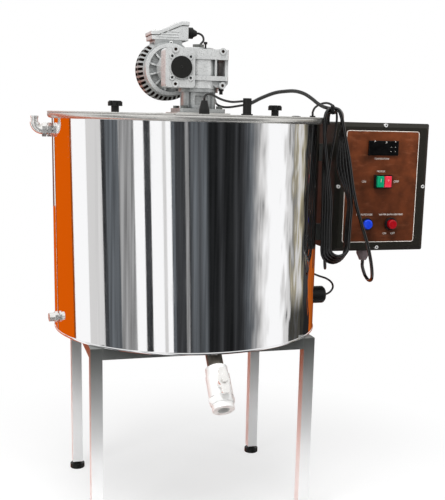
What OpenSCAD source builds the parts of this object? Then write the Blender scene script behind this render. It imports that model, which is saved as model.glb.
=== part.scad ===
// Heated melting tank with a geared paddle mixer, an outlet valve and a control box, on a tube stand.
// +Z is up and the front faces -Y. The origin lies on the floor below the tank's axis. Millimetres.

/* [Tank] */
// Outside diameter of the jacket
tank_d = 600; // [580:5:606]
// Height of the tank from its base to the top of its lid
tank_h = 480; // [470:5:500]
// Height of the lid's top above the floor
lid_height = 900; // [880:5:920]
// Sheet thickness of the jacket, the bowl and the base
sheet_t = 2; // [1.5:0.5:3]
// Width of the water space between the jacket and the bowl
water_gap = 28; // [24:1:34]
// Height of the water space below the bowl
bowl_lift = 78; // [74:1:90]
// Rise of the bowl's floor towards its centre
bowl_rise = 12; // [6:1:18]
// How far the rim stands out from the jacket
rim_overhang = 9.5; // [8:0.5:10]
// Height of the rim's folded skirt
rim_skirt_h = 9; // [7:0.5:12]
// Thickness of the rim and of the lid plates
plate_t = 3; // [2.5:0.5:4]

/* [Stand] */
// Outside width of the square tube
tube_w = 25; // [22:1:30]
// Wall of the square tube
tube_wall = 2; // [1.5:0.5:3]
// Width of the stand over its legs
stand_w = 495; // [480:5:510]
// Depth of the stand over its legs
stand_d = 415; // [400:5:420]
// Diameter of a levelling foot
foot_d = 36; // [32:1:42]
// Height of a levelling foot's pad
foot_h = 12; // [10:1:16]

/* [Lid] */
// Distance of the hinge line from the tank's axis
hinge_x = 94; // [90:1:100]
// Distance of the bridge's right edge from the tank's axis
bridge_x = 140; // [134:1:146]
// Diameter of a knob's head
knob_d = 32; // [28:1:36]
// Height of a knob
knob_h = 25; // [22:1:30]

/* [Mixer] */
// Distance of the mixer's shaft from the tank's axis
shaft_x = 23; // [18:1:27]
// Diameter of the mixer's shaft
shaft_d = 25; // [20:1:28]
// Height of the worm above the lid
worm_h = 100; // [98:1:106]
// Diameter of the slotted front of the motor's frame
motor_d = 138; // [134:1:142]
// Length of the motor's frame
motor_l = 96; // [94:1:110]
// Radius that the paddle sweeps
paddle_r = 205; // [180:5:215]
// Height of the paddle
paddle_h = 290; // [220:10:300]

/* [Outlet] */
// Slant of the outlet pipe from the vertical
outlet_tilt = 43.5; // [40:0.5:46]
// Distance of the outlet from the tank's axis at the base
outlet_y = 254; // [250:1:258]
// Outside diameter of the outlet pipe
pipe_d = 34; // [30:1:36]
// Bore of the outlet valve
valve_bore = 25; // [20:1:26]

/* [Control box] */
// Width of the control box
box_w = 236; // [228:2:244]
// Height of the control box
box_h = 301; // [294:1:314]
// Depth of the control box with its lid
box_d = 150; // [140:2:170]
// Gap between the jacket and the control box
box_gap = 38; // [36:1:40]

/* [Hidden] */

// Facets of a full circle in the preview
$fn = 64;
// Overrun of a cut past the face that it opens
over = 1;
// Clearance of a fixed round seat
seat = 0.1;
// Radial clearance of a running fit
run = 0.05;
// Clearance between loose neighbours
loose = 0.4;

// Stainless steel
steel = [0.78, 0.78, 0.79];
// Cast aluminium
alloy = [0.70, 0.71, 0.72];
// Black plastic
black = [0.05, 0.05, 0.05];

// Heights that follow from the tank
tank_r = tank_d / 2;
base_z = lid_height - tank_h;
lid_z = lid_height - plate_t;
wall_top = lid_z - plate_t;
rim_r = tank_r + rim_overhang;
bowl_r = tank_r - sheet_t - water_gap;
bowl_in_r = bowl_r - sheet_t;
bowl_floor = base_z + sheet_t + bowl_lift;
bowl_corner_r = 30;
// Rolled hem at the foot of the jacket
hem_t = 1.5;
hem_h = 4;

// Stand
leg_x = (stand_w - tube_w) / 2;
leg_y = (stand_d - tube_w) / 2;
foot_lift = 6;
leg_z = foot_h + foot_lift;
leg_plate_t = 4;
foot_stem_d = 10;
foot_stem_h = 40;
foot_nut_d = 20;

// Water filler on the left, an elbow that turns up
filler_drop = 40;
filler_z = lid_height - filler_drop;
filler_d = 20;
filler_bore = 11;
filler_bend_r = 16;
filler_run = 21;
filler_rise = 13;
filler_stub_d = 15;
filler_nut_d = 26;
filler_nut_t = 9;
filler_nut_gap = 2;
filler_lip_d = 17;
filler_lip_h = 4;
fitting_in = 8;

// Drain fitting on the left, near the base
drain_rise = 34;
drain_z = base_z + drain_rise;
drain_turn = 188;
drain_d = 15;
drain_nut_d = 22;
drain_nut_t = 7;
drain_cap_d = 19;
drain_cap_l = 12;

// Outlet pipe and valve, measured along the pipe from the tank's base
pipe_wall = 2.6;
pipe_up = 110;
pipe_end = 58;
valve_start = 46;
valve_socket_d = 46;
valve_socket_l = 18;
valve_mid_d = 50;
ball_at = 93;
ball_d = 38;
ball_gap = 0.3;
valve_joint = 113;
hex_af = 48;
hex_l = 16;
hex_drop_share = 0.12;
hex_ball_share = 1.13;
collar_d = 45;
collar_l = 12;
stem_d = 12;
neck_d = 22;
neck_h = 36;
handle_t = 6;
handle_l = 58;
handle_w = 17;
handle_hub_d = 24;
handle_nut_af = 12;
handle_nut_h = 6;

// Immersion heater on the right, near the base
heater_rise = 54;
heater_z = base_z + heater_rise;
heater_hex_af = 50;
heater_hex_t = 10;
heater_thread_d = 42;
heater_cover_d = 42;
heater_cover_l = 38.5;
heater_rod_d = 9;
heater_rod_gap = 26;
heater_reach = 390;
heater_dome_r = 5;

// Lid
lid_slit = 0.6;
barrel_d = 6;
pin_d = 3;
hinge_l = 60;
hinge_y = 150;
hinge_edge = 1.8;
knuckle_l = hinge_l / 3;
knob_stem_d = 17;
knob_y = -30;
knob_left_x = -168;
knob_right_x = 198;
knob_lobe_d = 9;
knob_lobes = 7;
knob_edge = 2;
knob_head_share = 0.45;
lip_t = 2;
lip_h = 14;
lip_gap = 3;
lip_set = 14;
fold_h = 26;
fold_in = 12;
fold_l = 470;
shaft_hole_d = 46;
mount_w = 121;
mount_t = 4;
hinge_z = lid_z + plate_t / 2;

// Pedestal under the gear unit
ped_flange = 104;
ped_flange_t = 9;
ped_corner_r = 8;
ped_z = lid_height + mount_t;
ped_barrel_d = 76;
ped_bore_d = 54;
ped_cap_d = 90;
ped_cap_t = 8;
ped_bolt = 40;
ped_bolt_d = 8;
ped_head_af = 13;
ped_head_h = 6;
ped_window_w = 30;
ped_window_h = 20;
ped_window_cut = 5;
ped_rib_t = 7;

// Gear unit: worm along Y, wheel about Z
gear_module = 2.5;
wheel_teeth = 30;
wheel_r = gear_module * wheel_teeth / 2;
worm_r = 12.5;
root_share = 1.25;
crest_share = 0.9;
worm_x = shaft_x - wheel_r - worm_r;
worm_z = lid_height + worm_h;
lead = PI * gear_module;
wheel_tip = wheel_r + gear_module;
wheel_root = wheel_r - gear_module * root_share;
wheel_w = 20;
hub_d = 40;
tooth_shares = [0.29, 0.21, 0.16];
worm_core = worm_r - gear_module * root_share;
worm_crest = worm_r + gear_module * crest_share;
thread_root_share = 0.17;
thread_crest_share = 0.09;
thread_turns = 4;
thread_steps = 20;
case_low = 43;
ped_top = worm_z - case_low;
case_high = 41;
case_left = 35;
case_right = 31;
case_y = 52;
case_edge_r = 7;
gear_y = 48;
gear_x = 59;
gear_top_t = 22;
gear_low_t = 10;
gear_foot_t = 14;
gear_foot_x = 31;
gear_foot_slope = 18;
gear_low = 26;
drum_r = 46;
gear_rib_x = 27;
gear_rib_t = 4;
gear_wall_t = 7;
gear_edge_r = 8;
cavity_r = 42;
cavity_h = 26;
worm_cavity_r = 16.5;
worm_cavity_y = 40;
journal_d = 16;
journal_l = 44;
drive_d = 20;
cap_d = 47;
cap_t = 3;
cap_ring_d = 52;
cap_ring_t = 2;
lug_d = 15;
lug_hole_d = 7;
lug_l = 12;
lug_left = 13;
lug_low = -36;
lug_high = 37;
face_hole_d = 6;
face_hole_x = 20.5;
face_hole_z = 22.5;
face_ear_d = 12;
face_hole_deep = 8;
out_cover_d = 68;
out_cover_t = 4;
vent_d = 7.5;
vent_h = 15;
vent_head_h = 5;
vent_stem_d = 4;
vent_x = 6;
vent_y = -41;
drop_d = 11;
drop_h = 15;
drop_x = 46;
drop_y = -30;
drop_tip_share = 0.72;
motor_pad_d = 62;
motor_pad_t = 6;

// Motor behind the gear unit
motor_r = motor_d / 2;
motor_y = case_y + motor_pad_t;
shield_r = 58;
shield_l = 18;
shield_ring_t = 8;
shield_hub_d = 60;
shield_web_t = 6;
shield_ribs = 12;
shield_rib_t = 4;
frame_wall = 5;
frame_y = motor_y + shield_l;
frame_end = frame_y + motor_l;
barrel_r = 57;
flare_r = 59;
flare_l = 24;
drum_l = 58;
slot_count = 38;
slot_w = 6.5;
slot_l = 23;
slot_in = 4;
slot_free = 40;
end_wall_t = 6;
stator_in_r = 38;
stator_l = 80;
rotor_gap = 0.6;
rotor_shaft_d = 14;
fan_hub_d = 30;
fan_r = 50;
fan_l = 18;
fan_blades = 8;
fan_blade_t = 3;
fan_gap = 5;
cowl_t = 2;
cowl_l = 28;
cowl_hole_d = 5;
cowl_rings = 3;
cowl_step = 13;
terminal_neck_w = 64;
terminal_neck_l = 66;
terminal_rise = 67;
terminal_w = 86;
terminal_d = 72;
terminal_h = 11;
terminal_slope = 23;
terminal_left_x = -39;
terminal_set = 8;
terminal_lid_t = 10;
terminal_lip = 2;
terminal_flat = 16;
terminal_wall = 3;
gland_d = 21;
gland_l = 10;
gland_tip_d = 11;
gland_nut_d = 26;
gland_nut_l = 18;
gland_drop = 13;

// Mixer in the bowl
shaft_low = 24;
shaft_up = 8;
paddle_lift = 22;
blade_t = 5;
blade_w = 36;
paddle_hub_d = 44;
paddle_hub_h = 46;
paddle_mid = 150;

// Leads and their posts on the lid
post_x = 119;
post_y = -70;
post_d = 19;
post_h = 38;
post_foot_d = 26;
post_foot_h = 4;
probe_x = 16;
probe_y = -90;
probe_d = 23;
probe_tip_d = 13;
probe_h = 30;
probe_nut_h = 10;
main_lead_d = 8;
thin_lead_d = 5;
grommet_x = 278;
grommet_y = -62;
grommet_d = 13;
grommet_h = 4;

// Control box beside the tank
box_x = tank_r + box_gap;
box_drop = 8;
box_top = lid_height - box_drop;
box_low = box_top - box_h;
box_front = -75;
box_wall = 2.5;
box_lid_t = 15;
box_bevel = 10;
box_edge_r = 4;
box_back = box_front + box_d;
box_mid_x = box_x + box_w / 2;
panel_side = 24.5;
panel_end = 19.5;
panel_w = box_w - 2 * panel_side;
panel_h = box_h - 2 * panel_end;
panel_t = 1.5;
panel_r = 6;
panel_left = 4;
panel_rise = 1.5;
panel_x = box_mid_x - panel_left;
panel_z = box_low + box_h / 2 + panel_rise;
controller_w = 76;
controller_h = 34;
controller_t = 6;
controller_drop = 58;
controller_z = box_top - controller_drop;
switch_w = 43;
switch_h = 31;
switch_t = 9;
switch_shift = 2;
switch_rise = 13.5;
switch_x = panel_x + switch_shift;
switch_z = panel_z + switch_rise;
key_w = 17;
key_h = 26;
key_t = 10;
key_web = 2;
key_travel = 3;
lamp_rise = 65;
lamp_left = 2;
lamp_z = box_low + lamp_rise;
lamp_dx = 31;
lamp_x = panel_x - lamp_left;
bezel_d = 30;
bezel_t = 8;
lens_d = 22;
lens_t = 14;
strap_w = 40;
strap_t = 6;
strap_y = -10;
strap_drops = [52, 242];
box_gland_x = 427;
box_gland_y = -48;
box_gland_d = 32;
box_gland_nut = 9;
box_gland_tip = 17;
box_gland_l = 25;

// Hook for the spare lead, a bent rod on the rim
hook_d = 8;
hook_turn = -21;
hook_out = 3;
hook_rise = 11.7;
hook_knee = [302, -131];
hook_end = [279, -177];
hook_tip = [274, -187];
hook_tip_rise = 14;
hook_pad_w = 18;
hook_pad_t = 6;
hook_pad_h = 8;

// Routes of the leads, heights above the lid
probe_route = [
  [16, -90, 30], [16, -90, 36], [20, -89, 42], [29, -88, 44], [40, -86, 40], [52, -83, 35], [66, -80, 31],
  [82, -77, 29], [97, -73, 30], [106, -70, 31], [112, -70, 31]
];
motor_route = [
  [48, 120, 188], [54, 120, 188], [62, 119, 183], [64, 117, 173], [57, 115, 164], [51, 111, 154],
  [50, 104, 136], [56, 92, 108], [64, 77, 82], [70, 60, 58], [72, 42, 41], [71, 22, 30], [69, 5, 25],
  [71, -11, 21], [77, -27, 18], [87, -43, 18], [98, -54, 20], [107, -62, 22], [112, -66, 23]
];
main_route = [
  [126, -71, 27], [134, -72, 31], [151, -75, 40], [178, -81, 51], [200, -88, 55], [220, -97, 56],
  [238, -107, 51], [252, -118, 41], [264, -127, 30], [276, -134, 23], [289, -138, 20], [300, -138, 20]
];
coil_top = [[300, 20], [312, 16], [320, 1], [331, -45], [345, -110]];
coil_fan = [0, 0, 0.3, 4, 8];
coil_neck = [[281, -30], [282, 4], [289, 16.5]];
coil_left = 277;
coil_right = 354;
coil_pull = 3;
coil_waist = 180;
coil_shoulder = 100;
coil_low = 326;
coil_lift = 6;
coil_draw = 7;
coil_round_shares = [[0.97, 2], [0.92, 0.7], [0.8, -0.55], [0, -1], [-0.8, -0.55], [-0.92, 0.7], [-0.97, 2]];
coil_y = -138;
coil_step = [-4.3, -8.6];
coil_turns = 4;
coil_out = 4;
coil_rings = 32;
tail_route = [
  [336, -175, -150], [342, -174.5, -172], [350.5, -169, -194], [364, -160, -222], [381, -150, -256],
  [398, -139, -292], [412, -127, -326], [423, -113, -355], [430, -97, -373], [432, -79, -379],
  [430, -63, -372], [428, -53, -359], [427, -48, -348], [427, -48, -341], [427, -48, -334]
];
lid_route = [
  [278, -62, 4], [278, -62, 8], [278, -62, 12], [280, -70, 22], [286, -88, 30], [295, -108, 32],
  [305, -121, 24], [311, -125, 6], [311, -121, -30], [305, -114, -95], [301, -110, -180], [301, -108, -260],
  [304, -104, -315], [310, -94, -342], [318, -80, -345], [323, -64, -325], [325, -50, -280],
  [326, -40, -220], [326, -33, -165], [326, -31, -142], [327, -30, -129], [330, -30, -122], [335, -30, -120],
  [338, -30, -120]
];
heater_route = [
  [350, 0, -426], [356, 0, -426], [368, 3, -421], [377, 9, -411], [377, 19, -401], [368, 31, -393],
  [352, 45, -388], [335, 58, -380], [320, 73, -362], [311, 86, -335], [308, 92, -300], [312, 89, -262],
  [320, 76, -226], [327, 65, -206], [332, 62, -200], [338, 62, -200]
];

// Direction of unit length
function unit(v) = v / norm(v);

// Smooth curve through points, n steps for each stretch
function curve_at(a, b, c, d, t) =
  b + (c - a) * t / 2 + (2 * a - 5 * b + 4 * c - d) * t * t / 2 + (3 * b - a - 3 * c + d) * t * t * t / 2;
function smooth(p, n) = let (e = len(p) - 1, q = concat([2 * p[0] - p[1]], p, [2 * p[e] - p[e - 1]])) concat(
  [for (i = [0:e - 1]) for (k = [0:n - 1]) curve_at(q[i], q[i + 1], q[i + 2], q[i + 3], k / n)],
  [p[e]]
);

// A route lifted to the lid's height
function on_lid(p) = [for (q = p) [q[0], q[1], q[2] + lid_height]];

// Direction of a path at one of its points, true to the curve at its ends
function along(p, i) = let (e = len(p) - 1) unit(
  i == 0 ? 4 * p[1] - 3 * p[0] - p[2] : i == e ? 3 * p[e] - 4 * p[e - 1] + p[e - 2] : p[i + 1] - p[i - 1]
);

// Sideways directions carried along a path without twist
function sideways(p) = [
  for (
    i = 0, s = cross(along(p, 0), abs(along(p, 0)[2]) < 0.9 ? [0, 0, 1] : [1, 0, 0]);
    i < len(p);
    s = s - (s * along(p, min(i + 1, len(p) - 1))) * along(p, min(i + 1, len(p) - 1)), i = i + 1
  ) unit(s - (s * along(p, i)) * along(p, i))
];

// Round tube along a path
module tube(p, d, sides) {
  n = len(p);
  s = sideways(p);
  points = [
    for (i = [0:n - 1]) for (k = [0:sides - 1])
      let (a = 360 * k / sides, up = cross(along(p, i), s[i]))
        p[i] + (s[i] * cos(a) + up * sin(a)) * d / 2
  ];
  walls = [
    for (i = [0:n - 2]) for (k = [0:sides - 1])
      let (a = i * sides + k, b = i * sides + (k + 1) % sides)
        each [[a, a + sides, b + sides], [a, b + sides, b]]
  ];
  first = [[for (k = [0:sides - 1]) k]];
  last = [[for (k = [0:sides - 1]) n * sides - 1 - k]];
  polyhedron(points, concat(walls, first, last));
}

// Loops of the spare lead, drawn as one unbroken path over the hook
function turn_points(t) = let (
  left = coil_left + coil_draw * t, right = coil_right - coil_pull * (coil_turns - t),
  half = (right - left) / 2, mid = left + half,
  low = half - coil_low + coil_lift * t
) concat(
  [for (k = [0:len(coil_top) - 1]) coil_top[k] - [coil_fan[k] * (coil_turns - t), 0]],
  [[right, -coil_waist]],
  [for (s = coil_round_shares) [mid + s[0] * half, low + s[1] * half]],
  [[left, -coil_waist], [(left + coil_left) / 2, -coil_shoulder]],
  coil_neck
);
coil_size = len(turn_points(0));
function loop_at(t) = let (p = turn_points(t), i = floor(t * coil_size), f = t * coil_size - i)
  curve_at(
    p[(i + coil_size - 1) % coil_size], p[i % coil_size], p[(i + 1) % coil_size], p[(i + 2) % coil_size], f
  );
coil_end = coil_turns + coil_out / coil_size;
coil_count = round(coil_end * coil_rings);
coil_path = [
  for (k = [0:coil_count]) let (t = coil_end * k / coil_count, q = loop_at(t))
    [q[0] + coil_step[0] * t, coil_y + coil_step[1] * t, q[1] + lid_height]
];
// Least gap between two turns, measured on the points
coil_least = min([
  for (i = [0:coil_count]) for (j = [i + round(coil_rings / 2):1:coil_count])
    norm(coil_path[i] - coil_path[j])
]) - main_lead_d;
echo(coil_gap = coil_least);

// Square with round corners, centred
module round_square(w, h, r) {
  difference() {
    square([w, h], center = true);
    for (x = [-1, 1]) for (y = [-1, 1])
      translate([x * (w / 2 - r), y * (h / 2 - r)])
        difference() {
          translate([x * r / 2, y * r / 2]) square([r + over, r + over], center = true);
          circle(r);
          translate([-x * (r + over), 0]) square([2 * (r + over), 4 * (r + over)], center = true);
          translate([0, -y * (r + over)]) square([4 * (r + over), 2 * (r + over)], center = true);
        }
  }
}

// Ring about Z
module ring(d_out, d_in, h) {
  difference() {
    cylinder(d = d_out, h = h);
    translate([0, 0, -over]) cylinder(d = d_in, h = h + 2 * over);
  }
}

// Six-sided prism about Z, measured across its flats
module hexagon(af, h) {
  cylinder(d = af / cos(30), h = h, $fn = 6);
}

// Local +Z along the outlet, local +Y towards the handle
module at_outlet(s) {
  translate([0, -outlet_y, base_z]) rotate([180 - outlet_tilt, 0, 0]) translate([0, 0, s]) children();
}

// Local +Z along the worm, towards the motor
module at_worm(y) {
  translate([worm_x, y, worm_z]) rotate([-90, 0, 0]) children();
}

// Leg of square tube with a threaded plate at its foot and a closed top
module leg(x, y) {
  color(steel) translate([x * leg_x, y * leg_y, leg_z])
    difference() {
      translate([-tube_w / 2, -tube_w / 2, 0]) cube([tube_w, tube_w, base_z - leg_z]);
      translate([-tube_w / 2 + tube_wall, -tube_w / 2 + tube_wall, leg_plate_t])
        cube([tube_w - 2 * tube_wall, tube_w - 2 * tube_wall, base_z - leg_z - leg_plate_t - tube_wall]);
      translate([0, 0, -over]) cylinder(d = foot_stem_d + 2 * seat, h = leg_plate_t + 2 * over);
    }
}

module leg_front_left() { leg(-1, -1); }
module leg_front_right() { leg(1, -1); }
module leg_rear_left() { leg(-1, 1); }
module leg_rear_right() { leg(1, 1); }

// One rail along X, square tube
module rail(l) {
  difference() {
    translate([-l / 2, -tube_w / 2, -tube_w]) cube([l, tube_w, tube_w]);
    translate([-l / 2 - over, -tube_w / 2 + tube_wall, -tube_w + tube_wall])
      cube([l + 2 * over, tube_w - 2 * tube_wall, tube_w - 2 * tube_wall]);
  }
}

module stand_rails() {
  color(steel) {
    for (s = [-1, 1]) translate([0, s * leg_y, base_z]) rail(2 * leg_x - tube_w);
    for (s = [-1, 1]) translate([s * leg_x, 0, base_z]) rotate([0, 0, 90]) rail(2 * leg_y - tube_w);
  }
}

module levelling_feet() {
  color(black) for (x = [-1, 1]) for (y = [-1, 1]) translate([x * leg_x, y * leg_y, 0]) {
    cylinder(d = foot_d, h = foot_h);
    cylinder(d = foot_nut_d, h = leg_z);
    cylinder(d = foot_stem_d, h = leg_z + foot_stem_h);
  }
}

module outer_jacket() {
  color(steel) difference() {
    rotate_extrude() {
      translate([tank_r - sheet_t, base_z]) square([sheet_t, wall_top - base_z]);
      translate([tank_r - sheet_t, base_z]) square([sheet_t + hem_t, hem_h]);
    }
    translate([-tank_r, 0, filler_z]) rotate([0, 90, 0])
      cylinder(d = filler_d + 2 * seat, h = 2 * water_gap, center = true);
    rotate([0, 0, drain_turn]) translate([tank_r, 0, drain_z]) rotate([0, 90, 0])
      cylinder(d = drain_d + 2 * seat, h = 2 * water_gap, center = true);
    translate([tank_r, 0, heater_z]) rotate([0, 90, 0])
      cylinder(d = heater_thread_d + 2 * seat, h = 2 * water_gap, center = true);
  }
}

module jacket_base() {
  color(steel) difference() {
    translate([0, 0, base_z]) cylinder(r = tank_r - sheet_t - seat, h = sheet_t);
    at_outlet(0) cylinder(d = pipe_d + 2 * seat, h = 2 * pipe_d, center = true);
  }
}

module inner_bowl() {
  flat_r = bowl_r - bowl_corner_r;
  bend = [for (a = [0:10:90]) [sin(a), -cos(a)]];
  centre = [flat_r, bowl_floor + bowl_corner_r];
  outside = [for (b = bend) centre + b * bowl_corner_r];
  inside = [for (i = [len(bend) - 1:-1:0]) centre + bend[i] * (bowl_corner_r - sheet_t)];
  color(steel) difference() {
    rotate_extrude() polygon(concat(
      [[0, bowl_floor + bowl_rise]], outside, [[bowl_r, wall_top], [bowl_in_r, wall_top]], inside,
      [[0, bowl_floor + bowl_rise + sheet_t]]
    ));
    at_outlet(0) mirror([0, 0, 1]) cylinder(d = pipe_d + 2 * seat, h = 2 * pipe_up);
  }
}

module rim_ring() {
  color(steel) rotate_extrude() {
    translate([bowl_in_r, wall_top]) square([rim_r - bowl_in_r, plate_t]);
    translate([rim_r - plate_t, wall_top - rim_skirt_h]) square([plate_t, rim_skirt_h + plate_t]);
  }
}

module water_filler() {
  bend_x = -tank_r - filler_run;
  color(steel) difference() {
    union() {
      translate([bend_x, 0, filler_z]) rotate([0, 90, 0])
        cylinder(d = filler_d, h = filler_run + fitting_in);
      for (k = [0, 1]) translate([
        -tank_r - filler_nut_t - hem_t - k * (filler_nut_t + filler_nut_gap), 0, filler_z
      ]) rotate([0, 90, 0]) hexagon(filler_nut_d, filler_nut_t);
      translate([bend_x, 0, filler_z + filler_bend_r]) rotate([90, 0, 0]) rotate([0, 0, 180])
        rotate_extrude(angle = 90) translate([filler_bend_r, 0]) circle(d = filler_d);
      translate([bend_x - filler_bend_r, 0, filler_z + filler_bend_r]) {
        cylinder(d = filler_stub_d, h = filler_rise);
        translate([0, 0, filler_rise - filler_lip_h]) cylinder(d = filler_lip_d, h = filler_lip_h);
      }
    }
    translate([bend_x, 0, filler_z]) rotate([0, 90, 0])
      cylinder(d = filler_bore, h = filler_run + fitting_in + over);
    translate([bend_x, 0, filler_z + filler_bend_r]) rotate([90, 0, 0]) rotate([0, 0, 180])
      rotate_extrude(angle = 90) translate([filler_bend_r, 0]) circle(d = filler_bore);
    translate([bend_x - filler_bend_r, 0, filler_z + filler_bend_r])
      cylinder(d = filler_bore, h = filler_rise + over);
  }
}

module drain_fitting() {
  color(steel) rotate([0, 0, drain_turn]) translate([tank_r, 0, drain_z]) rotate([0, 90, 0]) {
    translate([0, 0, -fitting_in]) cylinder(d = drain_d, h = fitting_in + hem_t + drain_nut_t);
    translate([0, 0, hem_t]) hexagon(drain_nut_d, drain_nut_t);
    translate([0, 0, hem_t + drain_nut_t]) cylinder(d = drain_cap_d, h = drain_cap_l);
  }
}

module outlet_pipe() {
  color(steel) difference() {
    at_outlet(-pipe_up) ring(pipe_d, pipe_d - 2 * pipe_wall, pipe_up + pipe_end);
    translate([0, 0, bowl_floor + sheet_t]) cylinder(r = bowl_in_r, h = tank_h);
  }
}

module valve_body() {
  color(steel) at_outlet(0) difference() {
    union() {
      translate([0, 0, valve_start]) cylinder(d = valve_socket_d, h = valve_socket_l);
      translate([0, 0, valve_start + valve_socket_l])
        cylinder(d = valve_mid_d, h = valve_joint - valve_start - valve_socket_l);
      translate([0, 0, ball_at]) rotate([-90, 0, 0]) cylinder(d = neck_d, h = neck_h);
    }
    translate([0, 0, valve_start - over]) cylinder(d = pipe_d + 2 * seat, h = pipe_end - valve_start + over);
    translate([0, 0, valve_start]) cylinder(d = valve_bore, h = valve_joint);
    translate([0, 0, ball_at]) sphere(d = ball_d + 2 * ball_gap);
    translate([0, 0, ball_at]) cylinder(d = ball_d + 2 * ball_gap, h = valve_joint);
    translate([0, 0, ball_at]) rotate([-90, 0, 0]) cylinder(d = stem_d + 2 * run, h = neck_h + over);
  }
}

module valve_end() {
  color(steel) at_outlet(valve_joint) difference() {
    union() {
      intersection() {
        hexagon(hex_af, hex_l);
        translate([0, 0, hex_l / 2 - hex_af * hex_drop_share]) sphere(d = hex_af * hex_ball_share);
      }
      translate([0, 0, hex_l]) cylinder(d = collar_d, h = collar_l);
    }
    translate([0, 0, -over]) cylinder(d = valve_bore, h = hex_l + collar_l + 2 * over);
  }
}

module valve_ball() {
  color(steel) at_outlet(ball_at) {
    difference() {
      union() {
        sphere(d = ball_d);
        rotate([-90, 0, 0]) cylinder(d = stem_d, h = neck_h + handle_t);
      }
      cylinder(d = valve_bore, h = 2 * ball_d, center = true);
    }
    translate([0, neck_h + handle_t, 0]) rotate([-90, 0, 0]) hexagon(handle_nut_af, handle_nut_h);
  }
}

module valve_handle() {
  color(steel) at_outlet(ball_at) translate([0, neck_h, 0]) rotate([-90, 0, 0]) difference() {
    union() {
      cylinder(d = handle_hub_d, h = handle_t);
      linear_extrude(handle_t) round_square(handle_w, handle_l, handle_w / 3);
    }
    translate([0, 0, -over]) cylinder(d = stem_d + 2 * seat, h = handle_t + 2 * over);
  }
}

module heater_element() {
  color(steel) translate([tank_r, 0, heater_z]) {
    translate([hem_t, 0, 0]) rotate([0, 90, 0]) hexagon(heater_hex_af, heater_hex_t);
    translate([-fitting_in, 0, 0]) rotate([0, 90, 0]) cylinder(d = heater_thread_d, h = fitting_in + hem_t);
    for (s = [-1, 1]) translate([-heater_reach, s * heater_rod_gap / 2, 0]) rotate([0, 90, 0])
      cylinder(d = heater_rod_d, h = heater_reach);
    translate([-heater_reach, 0, 0]) rotate([0, 0, 90])
      rotate_extrude(angle = 180) translate([heater_rod_gap / 2, 0]) circle(d = heater_rod_d);
  }
}

module heater_cover() {
  r = heater_cover_d / 2;
  color(black) translate([tank_r + hem_t + heater_hex_t, 0, heater_z]) rotate([0, 90, 0]) {
    cylinder(r = r, h = heater_cover_l - heater_dome_r);
    translate([0, 0, heater_cover_l - heater_dome_r])
      cylinder(r1 = r, r2 = r - heater_dome_r, h = heater_dome_r);
  }
}

// Disc of a lid, cut to a strip from x0 to x1
module lid_plate(x0, x1) {
  intersection() {
    translate([0, 0, lid_z]) cylinder(r = rim_r, h = plate_t);
    translate([x0, -rim_r, lid_z]) cube([x1 - x0, 2 * rim_r, plate_t]);
  }
}

// Knuckles of both hinges: the bridge has the middle ones
module knuckles(parts, grow, trim) {
  for (y = [-hinge_y, hinge_y]) for (k = parts)
    translate([-hinge_x, y + k * knuckle_l, hinge_z]) rotate([90, 0, 0])
      cylinder(d = barrel_d + 2 * grow, h = knuckle_l - trim, center = true);
}

module pin_holes() {
  for (y = [-hinge_y, hinge_y]) translate([-hinge_x, y, hinge_z]) rotate([90, 0, 0])
    cylinder(d = pin_d + 2 * run, h = hinge_l + 2 * over, center = true);
}

// Webs that join the knuckles to their plate, to one side of the hinge line
module hinge_webs(parts, x) {
  for (y = [-hinge_y, hinge_y]) for (k = parts)
    translate([-hinge_x + min(x, 0), y + k * knuckle_l - (knuckle_l - loose) / 2, lid_z])
      cube([abs(x), knuckle_l - loose, plate_t]);
}

module lid_bridge() {
  edge = hinge_edge + over;
  color(steel) difference() {
    union() {
      difference() {
        lid_plate(-hinge_x + hinge_edge, bridge_x);
        knuckles([-1, 1], loose, -loose);
      }
      hinge_webs([0], edge);
      knuckles([0], 0, loose);
      translate([shaft_x - mount_w / 2, -mount_w / 2, lid_height]) cube([mount_w, mount_w, mount_t]);
      for (x = [-hinge_x + fold_in, bridge_x - fold_in - plate_t])
        translate([x, -fold_l / 2, lid_z - fold_h]) cube([plate_t, fold_l, fold_h]);
    }
    pin_holes();
    translate([shaft_x, 0, lid_z - over]) cylinder(d = shaft_hole_d, h = plate_t + mount_t + 2 * over);
  }
}

module left_lid() {
  edge = hinge_edge + over;
  lip_r = bowl_in_r - lip_gap;
  color(steel) difference() {
    union() {
      difference() {
        lid_plate(-rim_r, -hinge_x - hinge_edge);
        knuckles([0], loose, -loose);
      }
      hinge_webs([-1, 1], -edge);
      knuckles([-1, 1], 0, loose);
      intersection() {
        translate([0, 0, lid_z - lip_h]) ring(2 * lip_r, 2 * (lip_r - lip_t), lip_h);
        translate([-rim_r, -rim_r, lid_z - lip_h]) cube([rim_r - hinge_x - lip_set, 2 * rim_r, lip_h]);
      }
    }
    pin_holes();
  }
}

module right_lid() {
  color(steel) lid_plate(bridge_x + lid_slit, rim_r);
}

module hinge_pins() {
  color(steel) for (y = [-hinge_y, hinge_y]) translate([-hinge_x, y, hinge_z]) rotate([90, 0, 0])
    cylinder(d = pin_d, h = hinge_l, center = true);
}

// Outline of a knob's head
module lobes(d, lobe_d) {
  circle(d = d - lobe_d);
  for (a = [0:knob_lobes - 1]) rotate(360 * a / knob_lobes) translate([(d - lobe_d) / 2, 0])
    circle(d = lobe_d);
}

// Lobed knob on a round neck
module knob(x) {
  head_h = knob_h * knob_head_share;
  color(black) translate([x, knob_y, lid_height]) {
    cylinder(d = knob_stem_d, h = knob_h - head_h);
    translate([0, 0, knob_h - head_h]) linear_extrude(head_h - knob_edge) lobes(knob_d, knob_lobe_d);
    translate([0, 0, knob_h - knob_edge]) linear_extrude(knob_edge)
      lobes(knob_d - 2 * knob_edge, knob_lobe_d - knob_edge);
  }
}

module left_knob() { knob(knob_left_x); }
module right_knob() { knob(knob_right_x); }

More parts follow.
